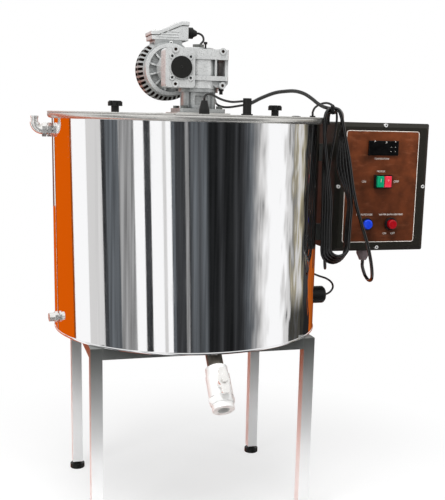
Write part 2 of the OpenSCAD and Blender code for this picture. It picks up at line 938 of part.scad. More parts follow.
module pedestal() {
  color(alloy) translate([shaft_x, 0, 0]) difference() {
    union() {
      translate([0, 0, ped_z]) linear_extrude(ped_flange_t)
        round_square(ped_flange, ped_flange, ped_corner_r);
      translate([0, 0, ped_z]) cylinder(d = ped_barrel_d, h = ped_top - ped_z);
      translate([0, 0, ped_top - ped_cap_t]) cylinder(d = ped_cap_d, h = ped_cap_t);
      for (a = [45:90:315]) rotate([0, 0, a]) translate([0, -ped_rib_t / 2, ped_z + ped_flange_t])
        cube([ped_cap_d / 2 - over, ped_rib_t, ped_top - ped_z - ped_flange_t - ped_cap_t]);
    }
    translate([0, 0, ped_z - over]) cylinder(d = ped_bore_d, h = ped_top - ped_z + 2 * over);
    for (x = [-ped_bolt, ped_bolt]) for (y = [-ped_bolt, ped_bolt]) translate([x, y, ped_z - over])
      cylinder(d = ped_bolt_d + 2 * seat, h = ped_flange_t + 2 * over);
    for (s = [-1, 1]) translate([
      -ped_window_w / 2, s * (ped_barrel_d / 2 - ped_window_cut / 2) - ped_window_cut / 2,
      (ped_z + ped_flange_t + ped_top - ped_cap_t - ped_window_h) / 2
    ]) cube([ped_window_w, ped_window_cut, ped_window_h]);
  }
}

module pedestal_bolts() {
  color(steel) translate([shaft_x, 0, 0])
    for (x = [-ped_bolt, ped_bolt]) for (y = [-ped_bolt, ped_bolt]) translate([x, y, ped_z]) {
      cylinder(d = ped_bolt_d, h = ped_flange_t);
      translate([0, 0, ped_flange_t]) hexagon(ped_head_af, ped_head_h);
    }
}

module reducer_housing() {
  top = worm_z + case_high;
  low = worm_z - case_low;
  gear_z = worm_z - gear_low;
  color(alloy) difference() {
    union() {
      translate([worm_x + (case_right - case_left) / 2, -case_y, worm_z + (case_high - case_low) / 2])
        rotate([-90, 0, 0]) linear_extrude(2 * case_y)
          round_square(case_left + case_right, case_high + case_low, case_edge_r);
      translate([shaft_x, 0, top - gear_top_t]) linear_extrude(gear_top_t) gear_outline();
      translate([shaft_x, 0, gear_z]) linear_extrude(gear_low_t) gear_outline();
      translate([shaft_x, gear_y - gear_edge_r, gear_z]) rotate([90, 0, 0])
        linear_extrude(2 * (gear_y - gear_edge_r)) gear_foot();
      translate([shaft_x, 0, low]) cylinder(r = drum_r, h = top - low);
      translate([shaft_x + gear_rib_x, -gear_y + over, gear_z])
        cube([gear_rib_t, 2 * (gear_y - over), top - gear_z]);
      translate([shaft_x + gear_x - gear_wall_t, -gear_y + gear_edge_r, gear_z])
        cube([gear_wall_t, 2 * (gear_y - gear_edge_r), top - gear_z]);
      translate([shaft_x, 0, top]) cylinder(d = out_cover_d, h = out_cover_t);
      at_worm(case_y) cylinder(d = motor_pad_d, h = motor_pad_t);
      at_worm(-case_y - cap_ring_t) {
        cylinder(d = cap_ring_d, h = cap_ring_t + over);
        for (x = [-1, 1]) for (z = [-1, 1]) translate([x * face_hole_x, z * face_hole_z, 0])
          cylinder(d = face_ear_d, h = cap_ring_t + over);
      }
      for (z = [lug_low, lug_high]) {
        for (y = [-case_y - cap_ring_t, case_y - lug_l]) translate([worm_x - lug_left, y, worm_z + z])
          rotate([-90, 0, 0]) cylinder(d = lug_d, h = lug_l);
        for (y = [-gear_y - cap_ring_t, gear_y - lug_l]) translate([shaft_x + gear_x - lug_d, y, worm_z + z])
          rotate([-90, 0, 0]) cylinder(d = lug_d, h = lug_l);
      }
    }
    translate([shaft_x, 0, worm_z]) cylinder(r = cavity_r, h = cavity_h, center = true);
    translate([shaft_x, 0, low - over]) cylinder(d = hub_d + 2 * run, h = top - low + out_cover_t + 2 * over);
    at_worm(-worm_cavity_y) cylinder(r = worm_cavity_r, h = 2 * worm_cavity_y);
    at_worm(-case_y - cap_ring_t - over) cylinder(d = journal_d + 2 * run, h = case_y);
    at_worm(0) cylinder(d = drive_d + 2 * run, h = case_y + motor_pad_t + over);
    for (z = [lug_low, lug_high]) {
      for (y = [-1, 1]) translate([worm_x - lug_left, y * case_y, worm_z + z]) rotate([90, 0, 0])
        cylinder(d = lug_hole_d, h = 2 * lug_l, center = true);
      for (y = [-1, 1]) translate([shaft_x + gear_x - lug_d, y * gear_y, worm_z + z]) rotate([90, 0, 0])
        cylinder(d = lug_hole_d, h = 2 * lug_l, center = true);
    }
    for (x = [-1, 1]) for (z = [-1, 1])
      translate([worm_x + x * face_hole_x, -case_y, worm_z + z * face_hole_z]) rotate([90, 0, 0])
        cylinder(d = face_hole_d, h = 2 * face_hole_deep, center = true);
  }
}

// Outline of the foot under the gear unit's right end, with a sloping web
module gear_foot() {
  polygon([
    [gear_foot_x - gear_foot_slope, 0], [gear_foot_x, -gear_foot_t], [gear_x - gear_edge_r, -gear_foot_t],
    [gear_x, gear_edge_r - gear_foot_t], [gear_x, gear_low_t], [gear_foot_x - gear_foot_slope, gear_low_t]
  ]);
}

// Outline of the gear unit's right half, seen from above
module gear_outline() {
  translate([(gear_x - case_left) / 2, 0]) round_square(gear_x + case_left, 2 * gear_y, gear_edge_r);
}

module reducer_plugs() {
  top = worm_z + case_high;
  low = worm_z - gear_low - gear_foot_t;
  color(black) {
    at_worm(-case_y - cap_ring_t - cap_t) cylinder(d = cap_d, h = cap_t);
    translate([shaft_x + vent_x, vent_y, top]) {
      cylinder(d = vent_stem_d, h = vent_h);
      translate([0, 0, vent_h - vent_head_h]) hexagon(vent_d, vent_head_h);
    }
    translate([shaft_x + drop_x, drop_y, low - drop_h]) {
      cylinder(d = drop_d * drop_tip_share, h = drop_h);
      translate([0, 0, drop_h / 2]) hexagon(drop_d, drop_h / 2);
    }
  }
}

module worm_wheel() {
  step = 360 / wheel_teeth;
  shape = [wheel_root, wheel_r, wheel_tip];
  flank = [for (t = [0:wheel_teeth - 1]) let (mid = step * (t + 0.5)) each concat(
    [for (k = [0:2]) let (a = mid - step * tooth_shares[k]) shape[k] * [cos(a), sin(a)]],
    [for (k = [2:-1:0]) let (a = mid + step * tooth_shares[k]) shape[k] * [cos(a), sin(a)]]
  )];
  color("goldenrod") translate([shaft_x, 0, worm_z]) difference() {
    union() {
      translate([0, 0, -wheel_w / 2]) linear_extrude(wheel_w) polygon(flank);
      translate([0, 0, -case_low]) cylinder(d = hub_d, h = case_low + case_high + out_cover_t);
    }
    cylinder(d = shaft_d + 2 * seat, h = 4 * case_low, center = true);
  }
}

module worm_shaft() {
  turn = [for (k = [0:thread_turns * thread_steps]) 360 * (k / thread_steps - thread_turns / 2)];
  wide = [-thread_root_share, -thread_crest_share, thread_crest_share, thread_root_share] * lead;
  deep = [worm_core - over, worm_crest, worm_crest, worm_core - over];
  points = [for (a = turn) for (k = [0:3]) [deep[k] * cos(a), -deep[k] * sin(a), wide[k] + lead * a / 360]];
  n = len(turn);
  walls = [for (i = [0:n - 2]) for (k = [0:3]) let (a = 4 * i + k, b = 4 * i + (k + 1) % 4)
    each [[a, a + 4, b + 4], [a, b + 4, b]]];
  color(steel) {
    at_worm(0)
      polyhedron(points, concat(walls, [[0, 1, 2, 3]], [[4 * n - 1, 4 * n - 2, 4 * n - 3, 4 * n - 4]]));
    at_worm(-worm_cavity_y + loose) cylinder(r = worm_core, h = 2 * (worm_cavity_y - loose));
    at_worm(-journal_l) cylinder(d = journal_d, h = journal_l);
    at_worm(0) cylinder(d = drive_d, h = motor_y);
  }
}

module agitator_shaft() {
  color(steel) translate([shaft_x, 0, bowl_floor + bowl_rise + shaft_low])
    cylinder(
      d = shaft_d, h = worm_z + case_high + out_cover_t + shaft_up - bowl_floor - bowl_rise - shaft_low
    );
}

module agitator_paddle() {
  low = bowl_floor + bowl_rise + sheet_t + paddle_lift;
  color(steel) translate([shaft_x, 0, low]) difference() {
    union() {
      cylinder(d = paddle_hub_d, h = paddle_hub_h);
      translate([0, 0, paddle_mid]) cylinder(d = paddle_hub_d, h = blade_w);
      translate([-blade_t / 2, -paddle_r, 0]) cube([blade_t, 2 * paddle_r, blade_w]);
      translate([-blade_t / 2, -paddle_r, paddle_mid]) cube([blade_t, 2 * paddle_r, blade_w]);
      for (s = [-1, 1]) translate([-blade_t / 2, s * (paddle_r - blade_w / 2) - blade_w / 2, 0])
        cube([blade_t, blade_w, paddle_h]);
    }
    cylinder(d = shaft_d + 2 * seat, h = 2 * paddle_h, center = true);
  }
}

module motor_shield() {
  color(alloy) at_worm(motor_y) difference() {
    union() {
      cylinder(d = shield_hub_d, h = shield_l);
      translate([0, 0, shield_l - shield_web_t]) cylinder(r = shield_r, h = shield_web_t);
      ring(2 * shield_r, 2 * (shield_r - shield_ring_t), shield_l);
      for (k = [0:shield_ribs - 1]) rotate([0, 0, 360 * (k + 0.5) / shield_ribs])
        translate([shield_hub_d / 2 - over, -shield_rib_t / 2, shield_ring_t / 2])
          cube([shield_r - shield_hub_d / 2 - shield_ring_t / 2, shield_rib_t, shield_l - shield_ring_t]);
    }
    translate([0, 0, -over]) cylinder(d = rotor_shaft_d + 2 * run, h = shield_l + 2 * over);
  }
}

// A barrel whose front flares into a slotted drum, with a flat seat for the terminal box
module motor_frame() {
  inner_r = barrel_r - frame_wall;
  color(alloy) difference() {
    union() {
      at_worm(frame_y) rotate_extrude() polygon([
        [inner_r, 0], [flare_r, 0], [motor_r, flare_l], [motor_r, drum_l], [barrel_r, drum_l],
        [barrel_r, motor_l], [inner_r, motor_l]
      ]);
      at_worm(frame_end - end_wall_t) ring(2 * barrel_r, rotor_shaft_d + 2 * run, end_wall_t);
      difference() {
        translate([worm_x - terminal_neck_w / 2, frame_y + terminal_set, worm_z])
          cube([terminal_neck_w, terminal_neck_l, terminal_rise]);
        at_worm(frame_y - over) cylinder(r = barrel_r - frame_wall / 2, h = motor_l);
      }
    }
    at_worm(frame_y) for (row = [0, 1]) for (k = [0:slot_count - 1])
      let (turn = 360 * (k + 0.5) / slot_count)
        if (abs(turn - 180) < 180 - slot_free) rotate([0, 0, turn - 90])
          translate([inner_r - over, -slot_w / 2, slot_in + row * (drum_l - slot_l - 2 * slot_in)])
            cube([motor_r, slot_w, slot_l]);
    translate([worm_x - motor_r, frame_y - over, terminal_base()])
      cube([motor_d, motor_l + 2 * over, motor_r]);
  }
}

module motor_stator() {
  color([0.25, 0.13, 0.08]) at_worm((frame_y + frame_end - stator_l) / 2)
    ring(2 * (barrel_r - frame_wall - seat), 2 * stator_in_r, stator_l);
}

module motor_rotor() {
  fan_y = frame_end + fan_gap;
  color([0.5, 0.5, 0.5]) {
    at_worm(motor_y) cylinder(d = rotor_shaft_d, h = fan_y + fan_l - motor_y);
    at_worm((frame_y + frame_end - stator_l) / 2) cylinder(r = stator_in_r - rotor_gap, h = stator_l);
    at_worm(fan_y) {
      cylinder(d = fan_hub_d, h = fan_l);
      for (k = [0:fan_blades - 1]) rotate([0, 0, 360 * k / fan_blades])
        translate([0, -fan_blade_t / 2, 0]) cube([fan_r, fan_blade_t, fan_l]);
    }
  }
}

module fan_cowl() {
  color(alloy) at_worm(frame_end) difference() {
    cylinder(r = barrel_r, h = cowl_l);
    translate([0, 0, -over]) cylinder(r = barrel_r - cowl_t, h = cowl_l - cowl_t + over);
    for (r = [1:cowl_rings]) for (k = [0:6 * r - 1]) rotate([0, 0, 360 * k / (6 * r)])
      translate([r * cowl_step, 0, cowl_l - 2 * cowl_t]) cylinder(d = cowl_hole_d, h = 3 * cowl_t);
  }
}

// Height of the terminal box's underside
function terminal_base() = worm_z + terminal_rise;
terminal_x = worm_x + terminal_left_x;
terminal_y = frame_y + terminal_set;

// Side outline of the terminal box, with a lid line that climbs to the right
function terminal_line(z) = [
  [0, z], [terminal_flat, z],
  [terminal_w - terminal_flat, z + terminal_slope], [terminal_w, z + terminal_slope]
];

module terminal_box() {
  line = terminal_line(terminal_h);
  color(alloy) translate([terminal_x, terminal_y + terminal_d, terminal_base()]) rotate([90, 0, 0])
    difference() {
      linear_extrude(terminal_d) polygon(concat([[terminal_w, 0], [0, 0]], line));
      translate([terminal_wall, terminal_wall, terminal_wall]) linear_extrude(terminal_d - 2 * terminal_wall)
        polygon(concat(
          [[terminal_w - 2 * terminal_wall, 0], [0, 0]],
          [[0, terminal_h + over], [terminal_flat, terminal_h + over],
          [terminal_w - terminal_flat - terminal_wall, terminal_h + terminal_slope],
          [terminal_w - 2 * terminal_wall, terminal_h + terminal_slope]]
        ));
    }
}

module terminal_lid() {
  low = terminal_line(terminal_h);
  high = terminal_line(terminal_h + terminal_lid_t);
  back = terminal_y + terminal_d + terminal_lip;
  color(alloy) translate([terminal_x, back, terminal_base()]) rotate([90, 0, 0])
    linear_extrude(terminal_d + 2 * terminal_lip) polygon(concat(
      low, [[terminal_w + terminal_lip, terminal_h + terminal_slope]],
      [[terminal_w + terminal_lip, terminal_h + terminal_slope + terminal_lid_t - terminal_lip]],
      [high[3], high[2], high[1], high[0] - [terminal_lip, terminal_lip]],
      [[-terminal_lip, terminal_h]]
    ));
}

// Tapered cable gland along Z
module gland(nut_d, nut_l, d, tip_d, l) {
  cylinder(d = nut_d, h = nut_l);
  translate([0, 0, nut_l]) cylinder(d1 = d, d2 = tip_d, h = l - nut_l);
}

module cable_glands() {
  gland_z = terminal_base() + terminal_h + terminal_slope - gland_drop;
  color(black) translate([terminal_x + terminal_w, terminal_y + terminal_d / 2, gland_z]) rotate([0, 90, 0])
    gland(gland_nut_d, gland_nut_l, gland_d, gland_tip_d, gland_nut_l + gland_l);
  color(black) translate([box_gland_x, box_gland_y, box_low]) mirror([0, 0, 1])
    gland(box_gland_d, box_gland_nut, box_gland_d, box_gland_tip, box_gland_l);
}

module lead_posts() {
  color(black) translate([post_x, post_y, lid_height]) {
    cylinder(d = post_foot_d, h = post_foot_h);
    cylinder(d = post_d, h = post_h);
  }
  color(black) translate([probe_x, probe_y, lid_height])
    gland(probe_d, probe_nut_h, probe_d, probe_tip_d, probe_h);
  color(black) translate([grommet_x, grommet_y, lid_height]) cylinder(d = grommet_d, h = grommet_h);
}

module control_box() {
  front = box_front + box_lid_t;
  color(black) difference() {
    translate([box_mid_x, front, box_low + box_h / 2]) rotate([-90, 0, 0]) linear_extrude(box_back - front)
      round_square(box_w, box_h, box_edge_r);
    translate([box_x + box_wall, front - over, box_low + box_wall])
      cube([box_w - 2 * box_wall, box_back - front - box_wall + over, box_h - 2 * box_wall]);
  }
}

module box_lid() {
  color(black) difference() {
    hull() {
      translate([box_mid_x, box_front + box_lid_t, box_low + box_h / 2]) rotate([90, 0, 0])
        linear_extrude(box_lid_t - box_bevel) round_square(box_w, box_h, box_edge_r, $fn = 32);
      translate([box_mid_x, box_front + box_lid_t, box_low + box_h / 2]) rotate([90, 0, 0])
        linear_extrude(box_lid_t)
          round_square(box_w - 2 * box_bevel, box_h - 2 * box_bevel, box_edge_r, $fn = 32);
    }
    translate([panel_x - panel_w / 2 - seat, box_front - over, panel_z - panel_h / 2 - seat])
      cube([panel_w + 2 * seat, panel_t + over, panel_h + 2 * seat]);
  }
}

module control_panel() {
  color([0.24, 0.09, 0.05]) translate([panel_x, box_front + panel_t, panel_z]) rotate([90, 0, 0])
    linear_extrude(panel_t) round_square(panel_w, panel_h, panel_r);
}

module temperature_controller() {
  low = controller_z - controller_h / 2;
  color(black) translate([panel_x - controller_w / 2, box_front - controller_t, low])
    cube([controller_w, controller_t, controller_h]);
}

module panel_fittings() {
  color(black) for (s = [-1, 1]) translate([lamp_x + s * lamp_dx, box_front, lamp_z]) rotate([90, 0, 0])
    ring(bezel_d, lens_d + 2 * loose, bezel_t);
  color(black) difference() {
    translate([switch_x - switch_w / 2, box_front - switch_t, switch_z - switch_h / 2])
      cube([switch_w, switch_t, switch_h]);
    for (s = [-1, 1]) translate([
      switch_x + s * (key_w + key_web) / 2 - key_w / 2 - loose, box_front - switch_t - over,
      switch_z - key_h / 2 - loose
    ]) cube([key_w + 2 * loose, switch_t - key_web + over, key_h + 2 * loose]);
  }
}

// Key of the twin switch
module key(s) {
  back = box_front - key_web - key_travel - loose;
  translate([switch_x + s * (key_w + key_web) / 2 - key_w / 2, back - key_t, switch_z - key_h / 2])
    cube([key_w, key_t, key_h]);
}

module start_button() { color([0.0, 0.45, 0.28]) key(-1); }
module stop_button() { color([0.85, 0.08, 0.12]) key(1); }

module pilot_lens() {
  color([0.05, 0.15, 0.85]) translate([lamp_x - lamp_dx, box_front, lamp_z]) rotate([90, 0, 0])
    cylinder(d = lens_d + 2 * loose - 2 * seat, h = lens_t);
}

module heat_button() {
  color([0.7, 0.02, 0.04]) translate([lamp_x + lamp_dx, box_front - key_travel - loose, lamp_z])
    rotate([90, 0, 0]) cylinder(d = lens_d, h = lens_t);
}

module box_bracket() {
  color(steel) difference() {
    for (d = strap_drops) translate([0, strap_y, box_top - d - strap_w])
      cube([box_x, strap_t, strap_w]);
    translate([0, 0, base_z - over]) cylinder(r = tank_r + seat, h = tank_h);
  }
}

module lead_hook() {
  out = rim_r + hook_out + hook_d / 2;
  foot = [out * cos(hook_turn), out * sin(hook_turn)];
  pad_z = wall_top - rim_skirt_h;
  up = lid_height + hook_rise;
  knee = [hook_knee[0], hook_knee[1], up];
  end = [hook_end[0], hook_end[1], up];
  color(steel) {
    difference() {
      rotate([0, 0, hook_turn]) translate([tank_r, -hook_pad_w / 2, pad_z])
        cube([out - tank_r, hook_pad_w, hook_pad_h]);
      translate([0, 0, pad_z - over]) cylinder(r = rim_r + seat, h = hook_pad_h + 2 * over);
    }
    tube(smooth([
      [foot[0], foot[1], pad_z], [foot[0], foot[1], up - hook_d],
      [(3 * foot[0] + hook_knee[0]) / 4, (3 * foot[1] + hook_knee[1]) / 4, up],
      knee, (knee + end) / 2, end, [hook_tip[0], hook_tip[1], up + hook_tip_rise]
    ], 4), hook_d, 12);
  }
}

module probe_lead() { color(black) tube(smooth(on_lid(probe_route), 3), thin_lead_d, 10); }
module motor_lead() { color(black) tube(smooth(on_lid(motor_route), 3), thin_lead_d, 10); }
module main_lead() { color(black) tube(smooth(on_lid(main_route), 4), main_lead_d, 12); }
module lead_coil() { color(black) tube(coil_path, main_lead_d, 6); }
module box_lead() {
  color(black) tube(smooth(concat([coil_path[coil_count]], on_lid(tail_route)), 4), main_lead_d, 12);
}
module heater_lead() { color(black) tube(smooth(on_lid(heater_route), 3), thin_lead_d, 10); }
module lid_lead() { color(black) tube(smooth(on_lid(lid_route), 3), thin_lead_d, 10); }

leg_front_left();
leg_front_right();
leg_rear_left();
leg_rear_right();
stand_rails();
levelling_feet();
outer_jacket();
jacket_base();
inner_bowl();
rim_ring();
water_filler();
drain_fitting();
outlet_pipe();
valve_body();
valve_end();
valve_ball();
valve_handle();
heater_element();
heater_cover();
lid_bridge();
left_lid();
right_lid();
hinge_pins();
left_knob();
right_knob();
pedestal();
pedestal_bolts();
reducer_housing();
reducer_plugs();
worm_wheel();
worm_shaft();
agitator_shaft();
agitator_paddle();
motor_shield();
motor_frame();
motor_stator();
motor_rotor();
fan_cowl();
terminal_box();
terminal_lid();
cable_glands();
lead_posts();
control_box();
box_lid();
control_panel();
temperature_controller();
panel_fittings();
start_button();
stop_button();
pilot_lens();
heat_button();
box_bracket();
lead_hook();
probe_lead();
motor_lead();
main_lead();
lead_coil();
box_lead();
heater_lead();
lid_lead();
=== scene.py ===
"""Dresses the melting tank: its polished sheet, castings, leads and control panel, in metres."""

import math

import bpy
from mathutils import Matrix, Vector


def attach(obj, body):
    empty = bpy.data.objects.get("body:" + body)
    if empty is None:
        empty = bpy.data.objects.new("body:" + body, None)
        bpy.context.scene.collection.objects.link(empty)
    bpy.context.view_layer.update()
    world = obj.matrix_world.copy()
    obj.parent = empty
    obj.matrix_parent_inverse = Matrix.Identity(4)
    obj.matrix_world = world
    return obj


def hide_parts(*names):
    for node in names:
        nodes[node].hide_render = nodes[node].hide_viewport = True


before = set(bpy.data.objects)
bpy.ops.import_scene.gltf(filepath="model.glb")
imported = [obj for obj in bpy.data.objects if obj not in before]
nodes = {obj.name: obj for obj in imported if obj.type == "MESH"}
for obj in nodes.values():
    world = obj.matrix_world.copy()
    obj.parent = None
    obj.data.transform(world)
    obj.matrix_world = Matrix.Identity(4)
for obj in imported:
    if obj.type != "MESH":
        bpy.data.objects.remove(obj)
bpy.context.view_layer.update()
scene = bpy.context.scene
scene.view_settings.view_transform = "Standard"

# Camera
# Stands a little left of the front, level with the lid and tipped down towards the stand.
# Its place and lens come from the tank's edges, the stand and the rim in the picture.
eye = Vector((-0.45556, -1.95128, 0.89165))
look = Vector((0.28648708, 0.9385302, -0.19257779))
right = Vector((0.95753449, -0.28728649, 0.02437566))
above = right.cross(look)
camera_data = bpy.data.cameras.new("camera")
camera_data.sensor_width = 36.0
camera_data.lens = 62.54
camera_data.shift_x = -0.04
camera_data.shift_y = 0.08
camera = bpy.data.objects.new("camera", camera_data)
scene.collection.objects.link(camera)
camera.matrix_world = Matrix.Translation(eye) @ Matrix((right, above, -look)).transposed().to_4x4()
scene.camera = camera


# Studio
# A pale floor that fades to white, and a white room for the camera.
# Bright cards, dark flags and two orange walls stand round the tank for its polished sheet to show.
def colour(code):
    """Linear colour of an sRGB hex value."""
    parts = [int(code[i : i + 2], 16) / 255 for i in (1, 3, 5)]
    return [c / 12.92 if c <= 0.04045 else ((c + 0.055) / 1.055) ** 2.4 for c in parts] + [1.0]


def add(tree, kind, links=None, **settings):
    """Adds one node with its settings; links holds nodes, sockets or plain values for its inputs."""
    made = tree.nodes.new(kind)
    for name, value in settings.items():
        setattr(made, name, value)
    for name, value in (links or {}).items():
        if isinstance(value, bpy.types.Node):
            value = value.outputs[0]
        if isinstance(value, bpy.types.NodeSocket):
            tree.links.new(value, made.inputs[name])
        else:
            made.inputs[name].default_value = value
    return made


def material(name):
    """A new empty material and its node tree."""
    made = bpy.data.materials.new(name)
    made.use_nodes = True
    made.node_tree.nodes.clear()
    return made, made.node_tree


world = bpy.data.worlds.new("studio")
scene.world = world
world.use_nodes = True
room = world.node_tree
room.nodes.clear()
ray = add(room, "ShaderNodeLightPath")
where = add(room, "ShaderNodeTexCoord")
axes = add(room, "ShaderNodeSeparateXYZ", {"Vector": where.outputs["Generated"]})
front = add(room, "ShaderNodeMath", {0: axes.outputs["Y"], 1: -1.0}, operation="MULTIPLY")
turn = add(room, "ShaderNodeMath", {0: axes.outputs["X"], 1: front}, operation="ARCTAN2")
# The cards lean a little, as the tank's sheet shows them, and waver on the control box's side
card_lean, waver_most, waves = 0.3, 0.45, (10, 24, 1)
waver_start, waver_full = math.radians(30), math.radians(70)
leaning = add(room, "ShaderNodeMath", {
    0: axes.outputs["Z"], 1: card_lean, 2: turn}, operation="MULTIPLY_ADD")
spread = add(room, "ShaderNodeCombineXYZ", {"X": turn, "Y": axes.outputs["Z"]})
wavy = add(room, "ShaderNodeVectorMath", {0: spread, 1: waves}, operation="MULTIPLY")
waver = add(room, "ShaderNodeTexNoise", {"Vector": wavy, "Scale": 1.0, "Detail": 2.0}, noise_dimensions="2D")
sideways = add(room, "ShaderNodeMapRange", {
    "Value": turn, "From Min": waver_start, "From Max": waver_full, "To Min": 0.0, "To Max": waver_most})
centred = add(room, "ShaderNodeMath", {0: waver, 1: 0.5}, operation="SUBTRACT")
lean = add(room, "ShaderNodeMath", {0: centred, 1: sideways, 2: leaning}, operation="MULTIPLY_ADD")
share = add(room, "ShaderNodeMapRange", {
    "Value": lean, "From Min": -math.pi, "From Max": math.pi, "To Min": 0.0, "To Max": 1.0})
tones = {
    "white": "#ffffff", "pale": "#d6d5d4", "grey": "#939393", "slate": "#5f6367", "dark": "#3a3b3d",
    "black": "#1e1f20", "orange": "#d95a05", "rust": "#8f4513", "clay": "#80584e",
    "cream": "#a39a80", "copper": "#b8591c",
}
# Each card by its left edge, in degrees from the front towards the control box, and its tone;
# those on the control box's side stand out of focus and run into each other
left_cards = [
    (-180, "clay"), (-169, "white"), (-165, "rust"), (-162, "orange"), (-128.5, "rust"), (-125.5, "white"),
    (-106.2, "pale"), (-89.7, "dark"), (-84.5, "slate"), (-72.4, "grey"), (-57.7, "white"), (-50.2, "dark"),
    (-44, "white"), (-34, "pale"), (-31.8, "white"), (-27.8, "slate"), (-25, "dark"), (-16, "grey"),
    (-13.5, "dark"),
]
right_cards = [
    (-12, "dark"), (-9, "slate"), (-6, "slate"), (-4, "dark"), (-1.5, "slate"), (1, "slate"),
    (3.5, "black"), (11, "black"), (14, "dark"), (18, "black"), (24, "black"), (27, "dark"), (30, "black"),
    (34, "dark"), (40, "slate"), (46, "grey"), (51, "pale"), (59, "white"), (75, "white"), (79, "pale"),
    (83, "pale"), (87, "grey"), (92, "cream"), (95, "pale"), (98, "pale"), (103, "cream"), (110, "dark"),
    (120, "dark"), (124, "copper"), (148, "rust"), (152, "dark"),
]
rows = []
for cards, edges in ((left_cards, "CONSTANT"), (right_cards, "LINEAR")):
    ramp = add(room, "ShaderNodeValToRGB", {"Fac": share})
    ramp.color_ramp.interpolation = edges
    stops = ramp.color_ramp.elements
    while len(stops) < len(cards):
        stops.new(0.5)
    for stop, (angle, tone) in zip(stops, cards):
        stop.position = (angle + 180) / 360
        stop.color = colour(tones[tone])
    rows.append(ramp)
cards_meet = math.radians(right_cards[0][0])
side = add(room, "ShaderNodeMath", {0: lean, 1: cards_meet}, operation="GREATER_THAN")
all_round = add(room, "ShaderNodeMixRGB", {"Fac": side, "Color1": rows[0], "Color2": rows[1]})
# Thin upright streaks, as cloth and door frames leave on the darker cards, but not on the orange wall
streaks, wall_edge = (26, 5, 1), math.radians(-95)
upright = add(room, "ShaderNodeVectorMath", {0: spread, 1: streaks}, operation="MULTIPLY")
streak = add(room, "ShaderNodeTexNoise", {
    "Vector": upright, "Scale": 1.0, "Detail": 3.0}, noise_dimensions="2D")
streak_tone = add(room, "ShaderNodeMapRange", {
    "Value": streak, "From Min": 0.3, "From Max": 0.7, "To Min": 0.6, "To Max": 1.4})
dull = add(room, "ShaderNodeMapRange", {
    "Value": all_round, "From Min": 0.3, "From Max": 0.75, "To Min": 1.0, "To Max": 0.0})
off_wall = add(room, "ShaderNodeMath", {0: turn, 1: wall_edge}, operation="GREATER_THAN")
dulled = add(room, "ShaderNodeMath", {0: dull, 1: off_wall}, operation="MULTIPLY")
streaked = add(room, "ShaderNodeMixRGB", {
    "Fac": dulled, "Color1": all_round, "Color2": streak_tone}, blend_type="MULTIPLY")
# The thin card at the far left ends half way down, with the orange wall below it
far_edge, far_foot = math.radians(left_cards[2][0]), -0.1
far = add(room, "ShaderNodeMath", {0: lean, 1: far_edge}, operation="LESS_THAN")
under = add(room, "ShaderNodeMath", {0: axes.outputs["Z"], 1: far_foot}, operation="LESS_THAN")
wall = add(room, "ShaderNodeMath", {0: far, 1: under}, operation="MULTIPLY")
walled = add(room, "ShaderNodeMixRGB", {"Fac": wall, "Color1": streaked, "Color2": colour(tones["orange"])})
# A dark bench stands low on the control box's side
bench_mid, bench_half, bench_dark = math.radians(104), math.radians(19), 0.9
beside = add(room, "ShaderNodeMath", {0: lean, 1: bench_mid, 2: bench_half}, operation="COMPARE")
below = add(room, "ShaderNodeMapRange", {
    "Value": axes.outputs["Z"], "From Min": -0.215, "From Max": -0.19, "To Min": bench_dark, "To Max": 0.0})
bench = add(room, "ShaderNodeMath", {0: beside, 1: below}, operation="MULTIPLY")
benched = add(room, "ShaderNodeMixRGB", {"Fac": bench, "Color1": walled, "Color2": colour(tones["black"])})
roof = add(room, "ShaderNodeMapRange", {
    "Value": axes.outputs["Z"], "From Min": 0.02, "From Max": 0.2, "To Min": 0.0, "To Max": 1.0})
cards_seen = add(room, "ShaderNodeMixRGB", {"Fac": roof, "Color1": benched, "Color2": colour("#f0f0f0")})
plain = add(room, "ShaderNodeBackground", {"Color": colour("#f2f2f2"), "Strength": 0.42})
shown = add(room, "ShaderNodeBackground", {"Color": cards_seen, "Strength": 1.0})
white = add(room, "ShaderNodeBackground", {"Color": colour("#ffffff"), "Strength": 1.0})
glossy = add(room, "ShaderNodeMixShader", {0: ray.outputs["Is Glossy Ray"], 1: plain, 2: shown})
final = add(room, "ShaderNodeMixShader", {0: ray.outputs["Is Camera Ray"], 1: glossy, 2: white})
add(room, "ShaderNodeOutputWorld", {"Surface": final})

floor_r, floor_z = 1.0, -0.0005
bpy.ops.object.select_all(action="DESELECT")
bpy.ops.mesh.primitive_circle_add(vertices=96, radius=floor_r, fill_type="NGON", location=(0, 0, floor_z))
floor = bpy.context.object
floor.name = "floor"
bpy.ops.object.transform_apply(location=True, rotation=True, scale=True)
# White paper floor: a matt sheet, which the camera sees fade into the white room
paper, tree = material("white_paper_floor")
spot = add(tree, "ShaderNodeTexCoord")
away = add(tree, "ShaderNodeVectorMath", {0: spot.outputs["Object"]}, operation="LENGTH")
edge = add(tree, "ShaderNodeMapRange", {
    "Value": away.outputs["Value"], "From Min": 0.2, "From Max": 0.95, "To Min": 0.6, "To Max": 1.0})
matt = add(tree, "ShaderNodeBsdfPrincipled", {"Base Color": colour("#fafafa"), "Roughness": 0.9})
glow = add(tree, "ShaderNodeEmission", {"Color": colour("#ffffff"), "Strength": 1.0})
seen = add(tree, "ShaderNodeLightPath")
fade = add(tree, "ShaderNodeMath", {0: edge, 1: seen.outputs["Is Camera Ray"]}, operation="MULTIPLY")
both = add(tree, "ShaderNodeMixShader", {0: fade, 1: matt, 2: glow})
add(tree, "ShaderNodeOutputMaterial", {"Surface": both})
floor.data.materials.append(paper)
floor.visible_glossy = False

